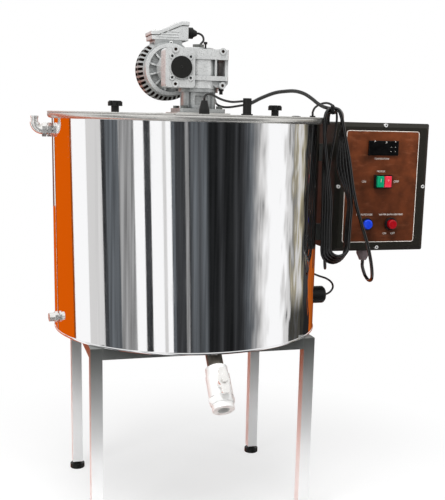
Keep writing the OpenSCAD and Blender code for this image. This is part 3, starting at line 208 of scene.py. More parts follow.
# Lamps: a broad one overhead, one from the left and a weaker one from the right; the sheet mirrors none
for name, place, aim, size, power in (
    ("lamp_over", (-0.3, -0.9, 2.6), (0, 0, 0.7), 1.4, 62),
    ("lamp_left", (-2.0, -1.6, 1.6), (0, 0, 0.8), 1.0, 34),
    ("lamp_right", (2.1, -1.8, 1.3), (0.2, 0, 0.7), 1.0, 14),
):
    lamp_data = bpy.data.lights.new(name, "AREA")
    lamp_data.energy = power
    lamp_data.size = size
    lamp = bpy.data.objects.new(name, lamp_data)
    scene.collection.objects.link(lamp)
    lamp.location = place
    lamp.rotation_euler = (Vector(aim) - Vector(place)).to_track_quat("-Z", "Y").to_euler()
    lamp.visible_glossy = False

# Stand
# Four legs and four rails of square stainless tube, brushed along their length and welded at the corners.
# Black nylon levelling feet screw into plates in the legs' ends.
MM = 0.001
# Most of a noise pattern's values lie between these two
noise_span = {"From Min": 0.3, "From Max": 0.7}


def grain(tree, size, detail=3.0, stretch=(1, 1, 1)):
    """Noise with spots of a size in millimetres, drawn out along an axis by stretch."""
    place = add(tree, "ShaderNodeTexCoord")
    drawn = add(tree, "ShaderNodeMapping", {"Vector": place.outputs["Object"], "Scale": stretch})
    return add(tree, "ShaderNodeTexNoise", {"Vector": drawn, "Scale": 1 / (size * MM), "Detail": detail})


def only(made):
    """Makes one object the whole selection."""
    bpy.ops.object.select_all(action="DESELECT")
    made.select_set(True)
    bpy.context.view_layer.objects.active = made


def rounded(made, width, segments=2, sharp=35):
    """Rounds the sharp edges to a width in millimetres and shades the faces between them smooth."""
    only(made)
    rounding = made.modifiers.new("rounding", "BEVEL")
    rounding.width = width * MM
    rounding.segments = segments
    rounding.limit_method = "ANGLE"
    rounding.angle_limit = math.radians(sharp)
    bpy.ops.object.modifier_apply(modifier="rounding")
    bpy.ops.object.shade_smooth_by_angle(angle=math.radians(sharp))
    made.modifiers.new("flats", "WEIGHTED_NORMAL").keep_sharp = True
    bpy.ops.object.modifier_apply(modifier="flats")
    return made


def merged(node):
    """A copy of a solid with its loose triangles joined, left in edit mode."""
    made = bpy.data.objects.new(node + "_copy", nodes[node].data.copy())
    scene.collection.objects.link(made)
    only(made)
    bpy.ops.object.mode_set(mode="EDIT")
    bpy.ops.mesh.select_all(action="SELECT")
    bpy.ops.mesh.customdata_custom_splitnormals_clear()
    bpy.ops.mesh.remove_doubles(threshold=0.002 * MM)
    return made


def softened(made, width, segments=2, sharp=35):
    """Takes a mesh in edit mode, makes each flat one face and rounds the edges, as finishing leaves them."""
    bpy.ops.mesh.select_all(action="SELECT")
    bpy.ops.mesh.dissolve_limited(angle_limit=math.radians(0.5))
    bpy.ops.object.mode_set(mode="OBJECT")
    return rounded(made, width, segments, sharp)


def eased(node, width, segments=2, sharp=35):
    """A merged copy of a solid with its edges rounded."""
    return softened(merged(node), width, segments, sharp)


def piece(made, name, finish, body="tank", covers=()):
    """Names a finished mesh, gives it its finish and fixes it to a body of the machine."""
    made.name = made.data.name = name
    made.data.materials.clear()
    made.data.materials.append(finish)
    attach(made, body)
    if covers:
        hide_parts(*covers)
    return made


# Brushed stainless tube: fine lines, drawn coarse enough to show, spread the light along the legs;
# painted light makes them paler and less metallic towards the floor, a painted glow of the bright floor
satin, tree = material("brushed_stainless_tube_painted_glow")
lines = grain(tree, 1.2, 2.0, (1, 1, 0.02))
height = add(tree, "ShaderNodeSeparateXYZ", {"Vector": add(tree, "ShaderNodeTexCoord").outputs["Object"]})
# Painted light: the colour pales and the metal dulls towards the floor, standing in for the floor's light
paler = add(tree, "ShaderNodeMapRange", {
    "Value": height.outputs["Z"], "From Min": 0.17, "From Max": 0.43, "To Min": 1.0, "To Max": 0.0})
steel = add(tree, "ShaderNodeMixRGB", {
    "Fac": grain(tree, 70), "Color1": colour("#6e716e"), "Color2": colour("#828481")})
lit = add(tree, "ShaderNodeMixRGB", {"Fac": paler, "Color1": steel, "Color2": colour("#ffffff")})
duller = add(tree, "ShaderNodeMapRange", {
    "Value": height.outputs["Z"], "From Min": 0.1, "From Max": 0.43, "To Min": 0.25, "To Max": 0.85})
rough = add(tree, "ShaderNodeMapRange", {"Value": lines, **noise_span, "To Min": 0.28, "To Max": 0.42})
scored = add(tree, "ShaderNodeBump", {"Height": lines, "Strength": 0.3, "Distance": 0.05 * MM})
shader = add(tree, "ShaderNodeBsdfPrincipled", {
    "Base Color": lit, "Metallic": duller, "Roughness": rough, "Normal": scored})
add(tree, "ShaderNodeOutputMaterial", {"Surface": shader})
for leg in ("leg_front_left", "leg_front_right", "leg_rear_left", "leg_rear_right"):
    piece(eased(leg, 2.5, 3), leg + "_tube", satin, covers=[leg])
piece(eased("stand_rails", 2.0, 3), "stand_rail_tubes", satin, covers=["stand_rails"])

# Moulded black nylon: a fine spark-eroded texture, drawn coarse enough to show, duller where it is handled
moulded, tree = material("moulded_black_nylon")
pits = grain(tree, 1.2)
tint = add(tree, "ShaderNodeMixRGB", {"Fac": pits, "Color1": colour("#0e0e0e"), "Color2": colour("#1e1e1d")})
rough = add(tree, "ShaderNodeMapRange", {"Value": pits, **noise_span, "To Min": 0.34, "To Max": 0.48})
pitted = add(tree, "ShaderNodeBump", {"Height": pits, "Strength": 0.25, "Distance": 0.3 * MM})
shader = add(tree, "ShaderNodeBsdfPrincipled", {
    "Base Color": tint, "Roughness": rough, "Specular IOR Level": 0.25, "Normal": pitted})
add(tree, "ShaderNodeOutputMaterial", {"Surface": shader})
feet = eased("levelling_feet", 1.5, 3)
piece(feet, "levelling_feet_moulded", moulded, covers=["levelling_feet"])


# Tank
# A jacket rolled from stainless sheet, mirror polished, with a hem at its foot and a weld down the back.
# The bowl hangs in it from a rim ring, whose skirt is rolled in at its lower edge.
def turned(outline, steps=256):
    """A ring turned about the upright axis from its closed half outline, in millimetres."""
    bpy.ops.object.select_all(action="DESELECT")
    bpy.ops.mesh.primitive_circle_add(vertices=len(outline))
    made = bpy.context.object
    for corner, (r, z) in zip(made.data.vertices, outline):
        corner.co = (r * MM, 0, z * MM)
    bpy.ops.object.mode_set(mode="EDIT")
    bpy.ops.mesh.select_all(action="SELECT")
    bpy.ops.mesh.spin(steps=steps, angle=math.tau, center=(0, 0, 0), axis=(0, 0, 1))
    bpy.ops.mesh.select_all(action="SELECT")
    bpy.ops.mesh.remove_doubles(threshold=0.01 * MM)
    bpy.ops.mesh.normals_make_consistent(inside=False)
    bpy.ops.object.mode_set(mode="OBJECT")
    bpy.ops.object.shade_smooth_by_angle(angle=math.radians(40))
    return made


def dress(finish, *names):
    """Gives solids that stay as they are their finish."""
    for name in names:
        nodes[name].data.materials.clear()
        nodes[name].data.materials.append(finish)


# Mirror-polished sheet: a cool bright metal with faint waves left by rolling
polished, tree = material("polished_stainless_sheet")
haze = grain(tree, 60)
wave = grain(tree, 140, 1.0, (1, 1, 0.35))
rough = add(tree, "ShaderNodeMapRange", {"Value": haze, **noise_span, "To Min": 0.03, "To Max": 0.07})
rolled = add(tree, "ShaderNodeBump", {"Height": wave, "Strength": 0.06, "Distance": 2 * MM})
shader = add(tree, "ShaderNodeBsdfPrincipled", {
    "Base Color": colour("#f8f8f9"), "Metallic": 1.0, "Roughness": rough, "Normal": rolled})
add(tree, "ShaderNodeOutputMaterial", {"Surface": shader})
jacket_outline = [
    (298, 420.4), (300.4, 420), (301.2, 420.6), (301.5, 422), (301.2, 423.4), (300.4, 424), (300, 424.6),
    (300, 425.4), (300, 428), (300, 540), (300, 660), (300, 780), (300, 894), (298, 894),
]
piece(turned(jacket_outline), "jacket_sheet", polished, covers=["outer_jacket"])

# Satin rim: brushed round the ring, in lines drawn coarse enough to show,
# so it has soft bands where the jacket has sharp ones
ring_satin, tree = material("brushed_stainless_rim")
lines = grain(tree, 1.5, 2.0, (0.05, 0.05, 1))
tint = add(tree, "ShaderNodeMixRGB", {
    "Fac": grain(tree, 50), "Color1": colour("#c9c8c4"), "Color2": colour("#dddbd7")})
rough = add(tree, "ShaderNodeMapRange", {"Value": lines, **noise_span, "To Min": 0.25, "To Max": 0.31})
shader = add(tree, "ShaderNodeBsdfPrincipled", {"Base Color": tint, "Metallic": 0.85, "Roughness": rough})
add(tree, "ShaderNodeOutputMaterial", {"Surface": shader})
rim_outline = [
    (268, 894), (305.5, 894), (305.5, 888.6), (302.2, 886.8), (301.2, 885.6), (302.4, 885), (305.8, 886),
    (308.4, 888.2), (309.5, 891), (309.5, 894.6), (309, 896.2), (307.6, 897), (268, 897),
]
piece(turned(rim_outline), "rolled_rim", ring_satin, covers=["rim_ring"])
dress(satin, "jacket_base")
dress(ring_satin, "inner_bowl")

# The jacket's seam, a weld ground nearly flat down the back
seam_r, seam_long, seam_flat, seam_place = 1.6, 452, (1.6, 0.45, 1), (0, 0.3, 0.654)
bpy.ops.object.select_all(action="DESELECT")
bpy.ops.mesh.primitive_cylinder_add(
    vertices=16, radius=seam_r * MM, depth=seam_long * MM, location=seam_place)
bpy.ops.transform.resize(value=seam_flat)
bpy.ops.object.transform_apply(location=True, rotation=True, scale=True)
piece(rounded(bpy.context.object, 0.4), "jacket_seam", satin)

# Water fittings
# The filler's elbow with its two union nuts and the capped drain are of nickel-plated brass.
# The immersion heater's stainless nut screws into the jacket, its terminals under a moulded black cover.

# Nickel-plated brass: bright, with small dents that break up what it mirrors
plated, tree = material("nickel_plated_brass")
spots = grain(tree, 9)
tint = add(tree, "ShaderNodeMixRGB", {"Fac": spots, "Color1": colour("#e2e0dc"), "Color2": colour("#f8f7f5")})
rough = add(tree, "ShaderNodeMapRange", {"Value": spots, **noise_span, "To Min": 0.1, "To Max": 0.2})
dented = add(tree, "ShaderNodeBump", {"Height": spots, "Strength": 0.12, "Distance": 0.6 * MM})
shader = add(tree, "ShaderNodeBsdfPrincipled", {
    "Base Color": tint, "Metallic": 0.75, "Roughness": rough, "Normal": dented})
add(tree, "ShaderNodeOutputMaterial", {"Surface": shader})
piece(eased("water_filler", 0.8), "filler_elbow", plated, covers=["water_filler"])
piece(eased("drain_fitting", 0.7), "drain_cap", plated, covers=["drain_fitting"])
piece(eased("heater_cover", 2.0, 3), "heater_cap", moulded, covers=["heater_cover"])
dress(satin, "heater_element")


# Outlet
# A slanted stainless pipe with a cast ball valve screwed on it: body, hexagonal end, ball and wing handle.
# The castings are blasted bright and the handle is stamped and plated.
def grimed(tree, clean, dirt, reach):
    """A colour with painted shade, darker in corners and hollows, within a reach in millimetres."""
    open_to = add(tree, "ShaderNodeAmbientOcclusion", {"Distance": reach * MM}, samples=8)
    bare = add(tree, "ShaderNodeMapRange", {
        "Value": open_to.outputs["AO"], "From Min": 0.2, "From Max": 0.75, "To Min": 0.0, "To Max": 1.0})
    return add(tree, "ShaderNodeMixRGB", {"Fac": bare, "Color1": colour(dirt), "Color2": clean})


# Blasted casting: an even white-grey grain, coarser than the grit so that it shows, with painted shade where
# faces meet
blasted, tree = material("blasted_cast_stainless_painted_shade")
sand = grain(tree, 2, 4.0)
clean = add(tree, "ShaderNodeMixRGB", {
    "Fac": grain(tree, 25), "Color1": colour("#e4e4e2"), "Color2": colour("#f5f5f4")})
rough = add(tree, "ShaderNodeMapRange", {"Value": sand, **noise_span, "To Min": 0.32, "To Max": 0.46})
gritty = add(tree, "ShaderNodeBump", {"Height": sand, "Strength": 0.3, "Distance": 0.3 * MM})
shader = add(tree, "ShaderNodeBsdfPrincipled", {
    "Base Color": grimed(tree, clean, "#7d7b78", 14), "Metallic": 0.3, "Roughness": rough, "Normal": gritty})
add(tree, "ShaderNodeOutputMaterial", {"Surface": shader})

# Pickled pipe: the weld's heat tints it, and painted shade from under the tank makes it a dark, warm grey
pipe_grey, tree = material("pickled_stainless_pipe_painted_shade")
bands = grain(tree, 14, 3.0, (1, 1, 0.4))
tint = add(tree, "ShaderNodeMixRGB", {"Fac": bands, "Color1": colour("#625d55"), "Color2": colour("#8d887f")})
rough = add(tree, "ShaderNodeMapRange", {"Value": bands, **noise_span, "To Min": 0.28, "To Max": 0.42})
shader = add(tree, "ShaderNodeBsdfPrincipled", {"Base Color": tint, "Metallic": 0.7, "Roughness": rough})
add(tree, "ShaderNodeOutputMaterial", {"Surface": shader})
piece(eased("outlet_pipe", 0.5), "outlet_tube", pipe_grey, covers=["outlet_pipe"])
piece(eased("valve_body", 1.2, 3), "valve_casting", blasted, covers=["valve_body"])
piece(eased("valve_end", 1.0, 3), "valve_union", blasted, covers=["valve_end"])
piece(eased("valve_handle", 1.2, 3), "valve_wing", plated, "valve", ["valve_handle"])
dress(plated, "valve_ball")

# Lid
# A fixed bridge of folded stainless sheet across the tank, a hinged left half and a fixed right half.
# Each half has a moulded lobed knob with a plated insert, and the right one a plugged hole.
FRONT, UP = (0, -1, 0), (0, 0, 1)
lid_top, knob_y = 900, -30


def seated(made, spot, out=FRONT):
    """Turns a mesh made upright on the floor to face out, at a spot in millimetres."""
    only(made)
    made.rotation_mode = "QUATERNION"
    made.rotation_quaternion = Vector(out).to_track_quat("Z", "Y")
    made.location = Vector(spot) * MM
    bpy.ops.object.transform_apply(location=True, rotation=True, scale=True)
    return made


def copied(made):
    """One more of a modelled shape, with its own mesh."""
    again = bpy.data.objects.new(made.name, made.data.copy())
    scene.collection.objects.link(again)
    return again


# Brushed lid sheet: straight lines from front to back, drawn coarse enough to show, duller than the rim
lid_satin, tree = material("brushed_stainless_lid")
lines = grain(tree, 2.5, 2.0, (1, 0.03, 1))
tint = add(tree, "ShaderNodeMixRGB", {"Fac": lines, "Color1": colour("#c4c3bf"), "Color2": colour("#d8d6d2")})
rough = add(tree, "ShaderNodeMapRange", {"Value": lines, **noise_span, "To Min": 0.42, "To Max": 0.52})
shader = add(tree, "ShaderNodeBsdfPrincipled", {"Base Color": tint, "Metallic": 0.7, "Roughness": rough})
add(tree, "ShaderNodeOutputMaterial", {"Surface": shader})
piece(eased("lid_bridge", 0.5), "bridge_sheet", lid_satin, covers=["lid_bridge"])
piece(eased("left_lid", 0.5), "left_lid_sheet", lid_satin, "lid", ["left_lid"])
piece(eased("right_lid", 0.5), "right_lid_sheet", lid_satin, covers=["right_lid"])
dress(satin, "hinge_pins")
piece(eased("left_knob", 2.2, 4), "left_knob_moulded", moulded, "lid", ["left_knob"])
piece(eased("right_knob", 2.2, 4), "right_knob_moulded", moulded, covers=["right_knob"])
insert_outline = [(0.01, -1), (3.4, -1), (3.4, 0.2), (3.0, 0.6), (0.01, 0.6)]
insert = turned(insert_outline, 24)
for hand, x, body in (("left", -168, "lid"), ("right", 198, "tank")):
    top = max(v.co.z for v in nodes[hand + "_knob"].data.vertices) / MM
    knob_insert = seated(copied(insert), (x, knob_y, top), UP)
    piece(knob_insert, hand + "_knob_insert", plated, body)
bpy.data.objects.remove(insert)
plug_outline = [(0.01, -0.5), (11, -0.5), (11, 1), (9.6, 2.2), (6, 2.9), (0.01, 3.1)]
plug = seated(turned(plug_outline, 48), (250, knob_y, lid_top), UP)
piece(plug, "lid_plug", moulded)

# Mixer
# A stainless shaft and a welded anchor paddle in the bowl.
# A steel worm drives them through a turned bronze wheel.
dress(satin, "agitator_shaft", "agitator_paddle", "worm_shaft")
# Turned bronze: a warm bright metal with fine rings from the tool
bronze, tree = material("turned_bronze")
rings = grain(tree, 2, 2.0, (1, 1, 0.2))
tint = add(tree, "ShaderNodeMixRGB", {"Fac": rings, "Color1": colour("#9c7434"), "Color2": colour("#c49a55")})
rough = add(tree, "ShaderNodeMapRange", {"Value": rings, **noise_span, "To Min": 0.24, "To Max": 0.36})
shader = add(tree, "ShaderNodeBsdfPrincipled", {"Base Color": tint, "Metallic": 1.0, "Roughness": rough})
add(tree, "ShaderNodeOutputMaterial", {"Surface": shader})
dress(bronze, "worm_wheel")

# Drive
# Painted aluminium castings: pedestal, gear housing, motor shield, slotted frame, cowl and terminal box.
# Bolts hold the pedestal, and screws the housing's lugs and the terminal lid, which sits on a black gasket.
motor_x, motor_z = -27, 1000
slot_front, slot_back, slot_foot_r, frame_r = 78, 134, 52, 66
box_neck_half, box_neck_low = 34, 1040


def carved(made, cutter):
    """Takes a cutter's space out of a mesh and does away with the cutter."""
    only(made)
    cut = made.modifiers.new("cut", "BOOLEAN")
    cut.object = cutter
    cut.solver = "EXACT"
    bpy.ops.object.modifier_apply(modifier="cut")
    bpy.data.objects.remove(cutter)
    return made


def second(made, finish, test):
    """Gives the faces that pass a test, by centre in millimetres and normal, another finish."""
    made.data.materials.append(finish)
    for face in made.data.polygons:
        if test(face.center / MM, face.normal):
            face.material_index = 1


def slot_wall(p, normal):
    """Whether a face of the motor's frame lies in a slot, not on a fin's top or the terminal box's neck."""
    on_neck = abs(p.x - motor_x) < box_neck_half and p.z > box_neck_low
    from_axis = Vector((p.x - motor_x, 0, p.z - motor_z))
    on_top = from_axis.length > slot_foot_r and normal.dot(from_axis.normalized()) > 0.5
    return slot_front < p.y < slot_back and from_axis.length < frame_r and not on_neck and not on_top


def joined(parts):
    """Several finished meshes as one."""
    bpy.ops.object.select_all(action="DESELECT")
    for part in parts:
        part.select_set(True)
    bpy.context.view_layer.objects.active = parts[0]
    bpy.ops.object.join()
    return parts[0]


def screw_heads(size, tall, places):
    """Socket-head screws, modelled once and copied to their spots, each facing its way out, as one mesh."""
    bpy.ops.object.select_all(action="DESELECT")
    bpy.ops.mesh.primitive_cylinder_add(
        vertices=24, radius=size / 2 * MM, depth=tall * MM, location=(0, 0, tall / 2 * MM))
    head = bpy.context.object
    bpy.ops.object.transform_apply(location=True, rotation=True, scale=True)
    bpy.ops.object.mode_set(mode="EDIT")
    bpy.ops.mesh.select_mode(type="FACE")
    bpy.ops.mesh.select_all(action="DESELECT")
    bpy.ops.object.mode_set(mode="OBJECT")
    for face in head.data.polygons:
        face.select = face.normal.z > 0.9
    bpy.ops.object.mode_set(mode="EDIT")
    bpy.ops.mesh.inset(thickness=size * 0.24 * MM)
    bpy.ops.mesh.extrude_region_move(TRANSFORM_OT_translate={"value": (0, 0, -tall * 0.5 * MM)})
    bpy.ops.object.mode_set(mode="OBJECT")
    rounded(head, size * 0.06)
    made = [seated(copied(head), spot, out) for spot, out in places]
    bpy.data.objects.remove(head)
    return joined(made)


# Painted castings: a sandy skin, drawn coarse enough to show, under thin silver paint, painted shade in
# corners;
# the grey coat is a darker copy, painted shade for the parts that sit low and behind the housing
coats = {}
for name, low, high, dirt in (
    ("silver", "#bfc1c1", "#e6e7e6", "#8a8d8d"), ("grey", "#8f9292", "#b4b6b5", "#686b6c"),
):
    coats[name], tree = material(name + "_painted_casting_painted_shade")
    sand = grain(tree, 1.8, 4.0)
    clean = add(tree, "ShaderNodeMixRGB", {
        "Fac": grain(tree, 30), "Color1": colour(low), "Color2": colour(high)})
    rough = add(tree, "ShaderNodeMapRange", {"Value": sand, **noise_span, "To Min": 0.24, "To Max": 0.38})
    gritty = add(tree, "ShaderNodeBump", {"Height": sand, "Strength": 0.15, "Distance": 0.3 * MM})
    shader = add(tree, "ShaderNodeBsdfPrincipled", {
        "Base Color": grimed(tree, clean, dirt, 18), "Metallic": 0.55, "Roughness": rough, "Normal": gritty})
    add(tree, "ShaderNodeOutputMaterial", {"Surface": shader})

# Varnished iron: nearly black, brown where rust shows through
iron, tree = material("varnished_iron")
rust = grain(tree, 4)
tint = add(tree, "ShaderNodeMixRGB", {"Fac": rust, "Color1": colour("#1d1512"), "Color2": colour("#3a2a22")})
rough = add(tree, "ShaderNodeMapRange", {"Value": rust, **noise_span, "To Min": 0.42, "To Max": 0.6})
shader = add(tree, "ShaderNodeBsdfPrincipled", {"Base Color": tint, "Metallic": 0.5, "Roughness": rough})
add(tree, "ShaderNodeOutputMaterial", {"Surface": shader})

# The gear case is cast away behind its left side, round the neck that holds the worm
neck_r, neck_long = 34, 160
cut_wide, cut_deep, cut_high, cut_y = 80, 57, 120, 23.5
bpy.ops.object.select_all(action="DESELECT")
bpy.ops.mesh.primitive_cylinder_add(
    vertices=96, radius=neck_r * MM, depth=neck_long * MM,
    location=(motor_x * MM, 0, motor_z * MM), rotation=(math.pi / 2, 0, 0))
neck = bpy.context.object
bpy.ops.object.transform_apply(location=True, rotation=True, scale=True)
bpy.ops.object.select_all(action="DESELECT")
bpy.ops.mesh.primitive_cube_add(
    size=1, location=((motor_x - cut_wide / 2) * MM, cut_y * MM, motor_z * MM))
behind = bpy.context.object
behind.scale = (cut_wide * MM, cut_deep * MM, cut_high * MM)
bpy.ops.object.transform_apply(location=True, rotation=True, scale=True)
carved(behind, neck)
# The pedestal and motor frame take the grey coat: painted shade, as they sit low and behind the housing
for name, width, coat in (
    ("pedestal", 1.5, "grey"), ("reducer_housing", 1.5, "silver"), ("motor_shield", 1.0, "silver"),
    ("motor_frame", 0.8, "grey"), ("fan_cowl", 1.5, "silver"), ("terminal_box", 1.5, "silver"),
    ("terminal_lid", 2.0, "silver"),
):
    shape = merged(name)
    if name == "reducer_housing":
        bpy.ops.object.mode_set(mode="OBJECT")
        carved(shape, behind)
        bpy.ops.object.mode_set(mode="EDIT")
    casting = piece(softened(shape, width, 3), name + "_casting", coats[coat], covers=[name])
    if name == "motor_frame":
        # Painted shade: the slots' walls, on the windings' side of the frame, take the dark iron finish for
        # the shade deep in them
        second(casting, iron, slot_wall)
dress(satin, "pedestal_bolts")
piece(eased("reducer_plugs", 0.8), "reducer_caps", moulded, covers=["reducer_plugs"])
cap_y = -57
boss_outline = [(1.6, -0.5), (3.6, -0.5), (3.6, 0.3), (3.1, 0.7), (2.2, 0.7), (1.6, 0.3)]
piece(seated(turned(boss_outline, 32), (motor_x, cap_y, motor_z)), "cap_boss", moulded)
dress(iron, "motor_stator", "motor_rotor")
glands = piece(eased("cable_glands", 0.6), "gland_nuts", moulded, covers=["cable_glands"])

# Moulded grey nylon: the gland under the control box, cloudy and a little faded
grey_nylon, tree = material("moulded_grey_nylon")
tint = add(tree, "ShaderNodeMixRGB", {
    "Fac": grain(tree, 8), "Color1": colour("#5c4f50"), "Color2": colour("#75676a")})
rough = add(tree, "ShaderNodeMapRange", {
    "Value": grain(tree, 2), **noise_span, "To Min": 0.4, "To Max": 0.55})
shader = add(tree, "ShaderNodeBsdfPrincipled", {"Base Color": tint, "Roughness": rough})
add(tree, "ShaderNodeOutputMaterial", {"Surface": shader})
box_gland_top = 600
second(glands, grey_nylon, lambda p, normal: p.z < box_gland_top)

# The terminal lid's gasket, a thin rubber plate whose edge shows all round
gasket_y, gasket_wide = 83.3, 73.4
gasket_outline = [
    (-66.7, 1076.8), (-50, 1076.8), (4, 1099.8), (20.7, 1099.8), (20.7, 1101.4), (3.6, 1101.4),
    (-50.4, 1078.4), (-66.7, 1078.4),
]
bpy.ops.object.select_all(action="DESELECT")
bpy.ops.mesh.primitive_circle_add(vertices=len(gasket_outline), fill_type="NGON")
gasket = bpy.context.object
for corner, (x, z) in zip(gasket.data.vertices, gasket_outline):
    corner.co = (x * MM, gasket_y * MM, z * MM)
bpy.ops.object.mode_set(mode="EDIT")
bpy.ops.mesh.select_all(action="SELECT")
bpy.ops.mesh.extrude_region_move(TRANSFORM_OT_translate={"value": (0, gasket_wide * MM, 0)})
bpy.ops.mesh.select_all(action="SELECT")
bpy.ops.mesh.normals_make_consistent(inside=False)
bpy.ops.object.mode_set(mode="OBJECT")
piece(rounded(gasket, 0.2), "terminal_gasket", moulded)

# Three slim ribs are cast on the terminal box's front
rib_y, rib_deep, rib_high = 83.6, 1.6, 2
ribs = []
for x, z, long in ((-20, 1086.5, 34), (-26, 1080.5, 46), (-30, 1074.5, 54)):
    bpy.ops.object.select_all(action="DESELECT")
    bpy.ops.mesh.primitive_cube_add(size=1, location=(x * MM, rib_y * MM, z * MM))
    rib = bpy.context.object
    rib.scale = (long * MM, rib_deep * MM, rib_high * MM)
    bpy.ops.object.transform_apply(location=True, rotation=True, scale=True)
    ribs.append(rounded(rib, 0.7, 3))
piece(joined(ribs), "terminal_ribs", coats["silver"])

# Dark screws in the housing's lugs; bright ones on the terminal lid, and the earth screw under it
lug_places = [((x, y, z), FRONT) for x, y in ((-40, -50), (67, -46)) for z in (964, 1037)]
piece(screw_heads(6.6, 3, lug_places), "lug_screws", iron)
slope = (-23, 0, 54)
lid_places = [((x, y, z), out) for x, z, out in ((-58, 1087.6, UP), (-8, 1105.2, slope)) for y in (92, 148)]
earth_place = ((-21.8, 84.5, 1061), FRONT)
drive_screws = joined([screw_heads(6, 2.4, lid_places), screw_heads(8, 5, [earth_place])])
piece(drive_screws, "drive_screws", blasted)
piece(eased("lead_posts", 0.8), "lead_post_moulded", moulded, covers=["lead_posts"])

# Control box
# A black ABS box on two steel straps, with a bevelled lid, a printed brown film and its controls.
# The lid is held by four bright screws in its frame.
film_y, controller_y, frame_y = -75.0, -81, -71

# Grained black ABS: a leathery moulded grain, drawn coarse enough to show, browner on its high spots
abs_black, tree = material("grained_black_abs")
hide = grain(tree, 3.0, 4.0)
tint = add(tree, "ShaderNodeMixRGB", {"Fac": hide, "Color1": colour("#11110e"), "Color2": colour("#292721")})
rough = add(tree, "ShaderNodeMapRange", {"Value": hide, **noise_span, "To Min": 0.38, "To Max": 0.54})
grained = add(tree, "ShaderNodeBump", {"Height": hide, "Strength": 0.4, "Distance": 0.5 * MM})
shader = add(tree, "ShaderNodeBsdfPrincipled", {
    "Base Color": tint, "Roughness": rough, "Specular IOR Level": 0.22, "Normal": grained})
add(tree, "ShaderNodeOutputMaterial", {"Surface": shader})
piece(eased("control_box", 2.0, 3), "box_shell", abs_black, covers=["control_box"])
piece(eased("box_lid", 1.2, 3, 25), "box_frame", abs_black, covers=["box_lid"])

# Printed film: brown ink under a satin coat, mottled and scuffed, with painted light: lighter towards its
# top, darker at its foot
film, tree = material("printed_brown_film")
blot = grain(tree, 38, 6.0)
scuff = grain(tree, 9, 3.0, (0.35, 1, 1))
blots = add(tree, "ShaderNodeMapRange", {"Value": blot, **noise_span, "To Min": 0.0, "To Max": 1.0})
ink = add(tree, "ShaderNodeMixRGB", {"Fac": blots, "Color1": colour("#40200f"), "Color2": colour("#70391f")})
worn = add(tree, "ShaderNodeMapRange", {
    "Value": scuff, "From Min": 0.58, "From Max": 0.8, "To Min": 0.0, "To Max": 0.35})
inked = add(tree, "ShaderNodeMixRGB", {"Fac": worn, "Color1": ink, "Color2": colour("#8e553b")})
height = add(tree, "ShaderNodeSeparateXYZ", {"Vector": add(tree, "ShaderNodeTexCoord").outputs["Object"]})
# Painted light: the ink is made lighter towards the film's top and darker towards its foot
fading = add(tree, "ShaderNodeMapRange", {
    "Value": height.outputs["Z"], "From Min": 0.62, "From Max": 0.87, "To Min": 0.7, "To Max": 1.15})
shaded = add(tree, "ShaderNodeMixRGB", {"Fac": 1.0, "Color1": inked, "Color2": fading}, blend_type="MULTIPLY")
rough = add(tree, "ShaderNodeMapRange", {"Value": scuff, **noise_span, "To Min": 0.36, "To Max": 0.5})
uneven = add(tree, "ShaderNodeBump", {"Height": blot, "Strength": 0.2, "Distance": 0.4 * MM})
shader = add(tree, "ShaderNodeBsdfPrincipled", {
    "Base Color": shaded, "Roughness": rough, "Specular IOR Level": 0.2, "Normal": uneven})
add(tree, "ShaderNodeOutputMaterial", {"Surface": shader})
piece(eased("control_panel", 0.3), "panel_film", film, covers=["control_panel"])
frame_spots = ((456.7, 886), (448.9, 600), (561.4, 744.7), (343.6, 744.1))
frame_screws = screw_heads(8.4, 6, [((x, frame_y, z), FRONT) for x, z in frame_spots])
piece(frame_screws, "frame_screws", blasted)

# White ink: a matt print on the film and the controls
ink_white, tree = material("white_screen_ink")
tint = add(tree, "ShaderNodeMixRGB", {
    "Fac": grain(tree, 3), "Color1": colour("#d8d3cb"), "Color2": colour("#f2efe9")})
shader = add(tree, "ShaderNodeBsdfPrincipled", {
    "Base Color": tint, "Roughness": 0.55, "Specular IOR Level": 0.2})
add(tree, "ShaderNodeOutputMaterial", {"Surface": shader})

# A word is drawn thick and then flattened to a film of ink
ink_drawn, ink_flat = 0.004, 0.02


def legend(words, x, z, width, y=film_y):
    """One printed word, fitted to a width, on a face at y."""
    bpy.ops.object.select_all(action="DESELECT")
    bpy.ops.object.text_add()
    made = bpy.context.object
    made.data.body = words
    made.data.align_x = "CENTER"
    made.data.align_y = "CENTER"
    made.data.extrude = ink_drawn
    bpy.ops.object.convert(target="MESH")
    made = bpy.context.object
    scale = width * MM / made.dimensions.x
    made.scale = (scale, scale, ink_flat)
    return seated(made, (x, y, z))


words = [
    legend(word, x, z, width) for word, x, z, width in (
        ("TEMPERATURE", 450.5, 809, 38), ("MOTOR", 450.5, 779.5, 21), ("ON", 408, 755.6, 10),
        ("OFF", 491, 755.9, 13), ("MAIN POWER", 413.5, 678, 41), ("WATER BATH HEATING", 482, 678, 62),
        ("ON", 468, 633, 9), ("OFF", 489.5, 633, 11.5),
    )
]
# The line printed round the film
border_wide, border_high, border_line = 186, 261, 1.3
bpy.ops.object.select_all(action="DESELECT")
bpy.ops.mesh.primitive_plane_add(size=1)
border = bpy.context.object
border.scale = (border_wide * MM, border_high * MM, 1)
bpy.ops.object.transform_apply(location=True, rotation=True, scale=True)
bpy.ops.object.mode_set(mode="EDIT")
bpy.ops.mesh.select_all(action="SELECT")
bpy.ops.mesh.bevel(offset=6 * MM, segments=6, affect="VERTICES")
bpy.ops.mesh.select_all(action="SELECT")
bpy.ops.mesh.inset(thickness=border_line * MM)
bpy.ops.mesh.delete(type="FACE")
bpy.ops.mesh.select_all(action="SELECT")
bpy.ops.mesh.extrude_region_move(TRANSFORM_OT_translate={"value": (0, 0, 0.1 * MM)})
bpy.ops.mesh.select_all(action="SELECT")
bpy.ops.mesh.normals_make_consistent(inside=False)
bpy.ops.object.mode_set(mode="OBJECT")
words.append(seated(border, (452, film_y, 743)))
piece(joined(words), "panel_legends", ink_white)

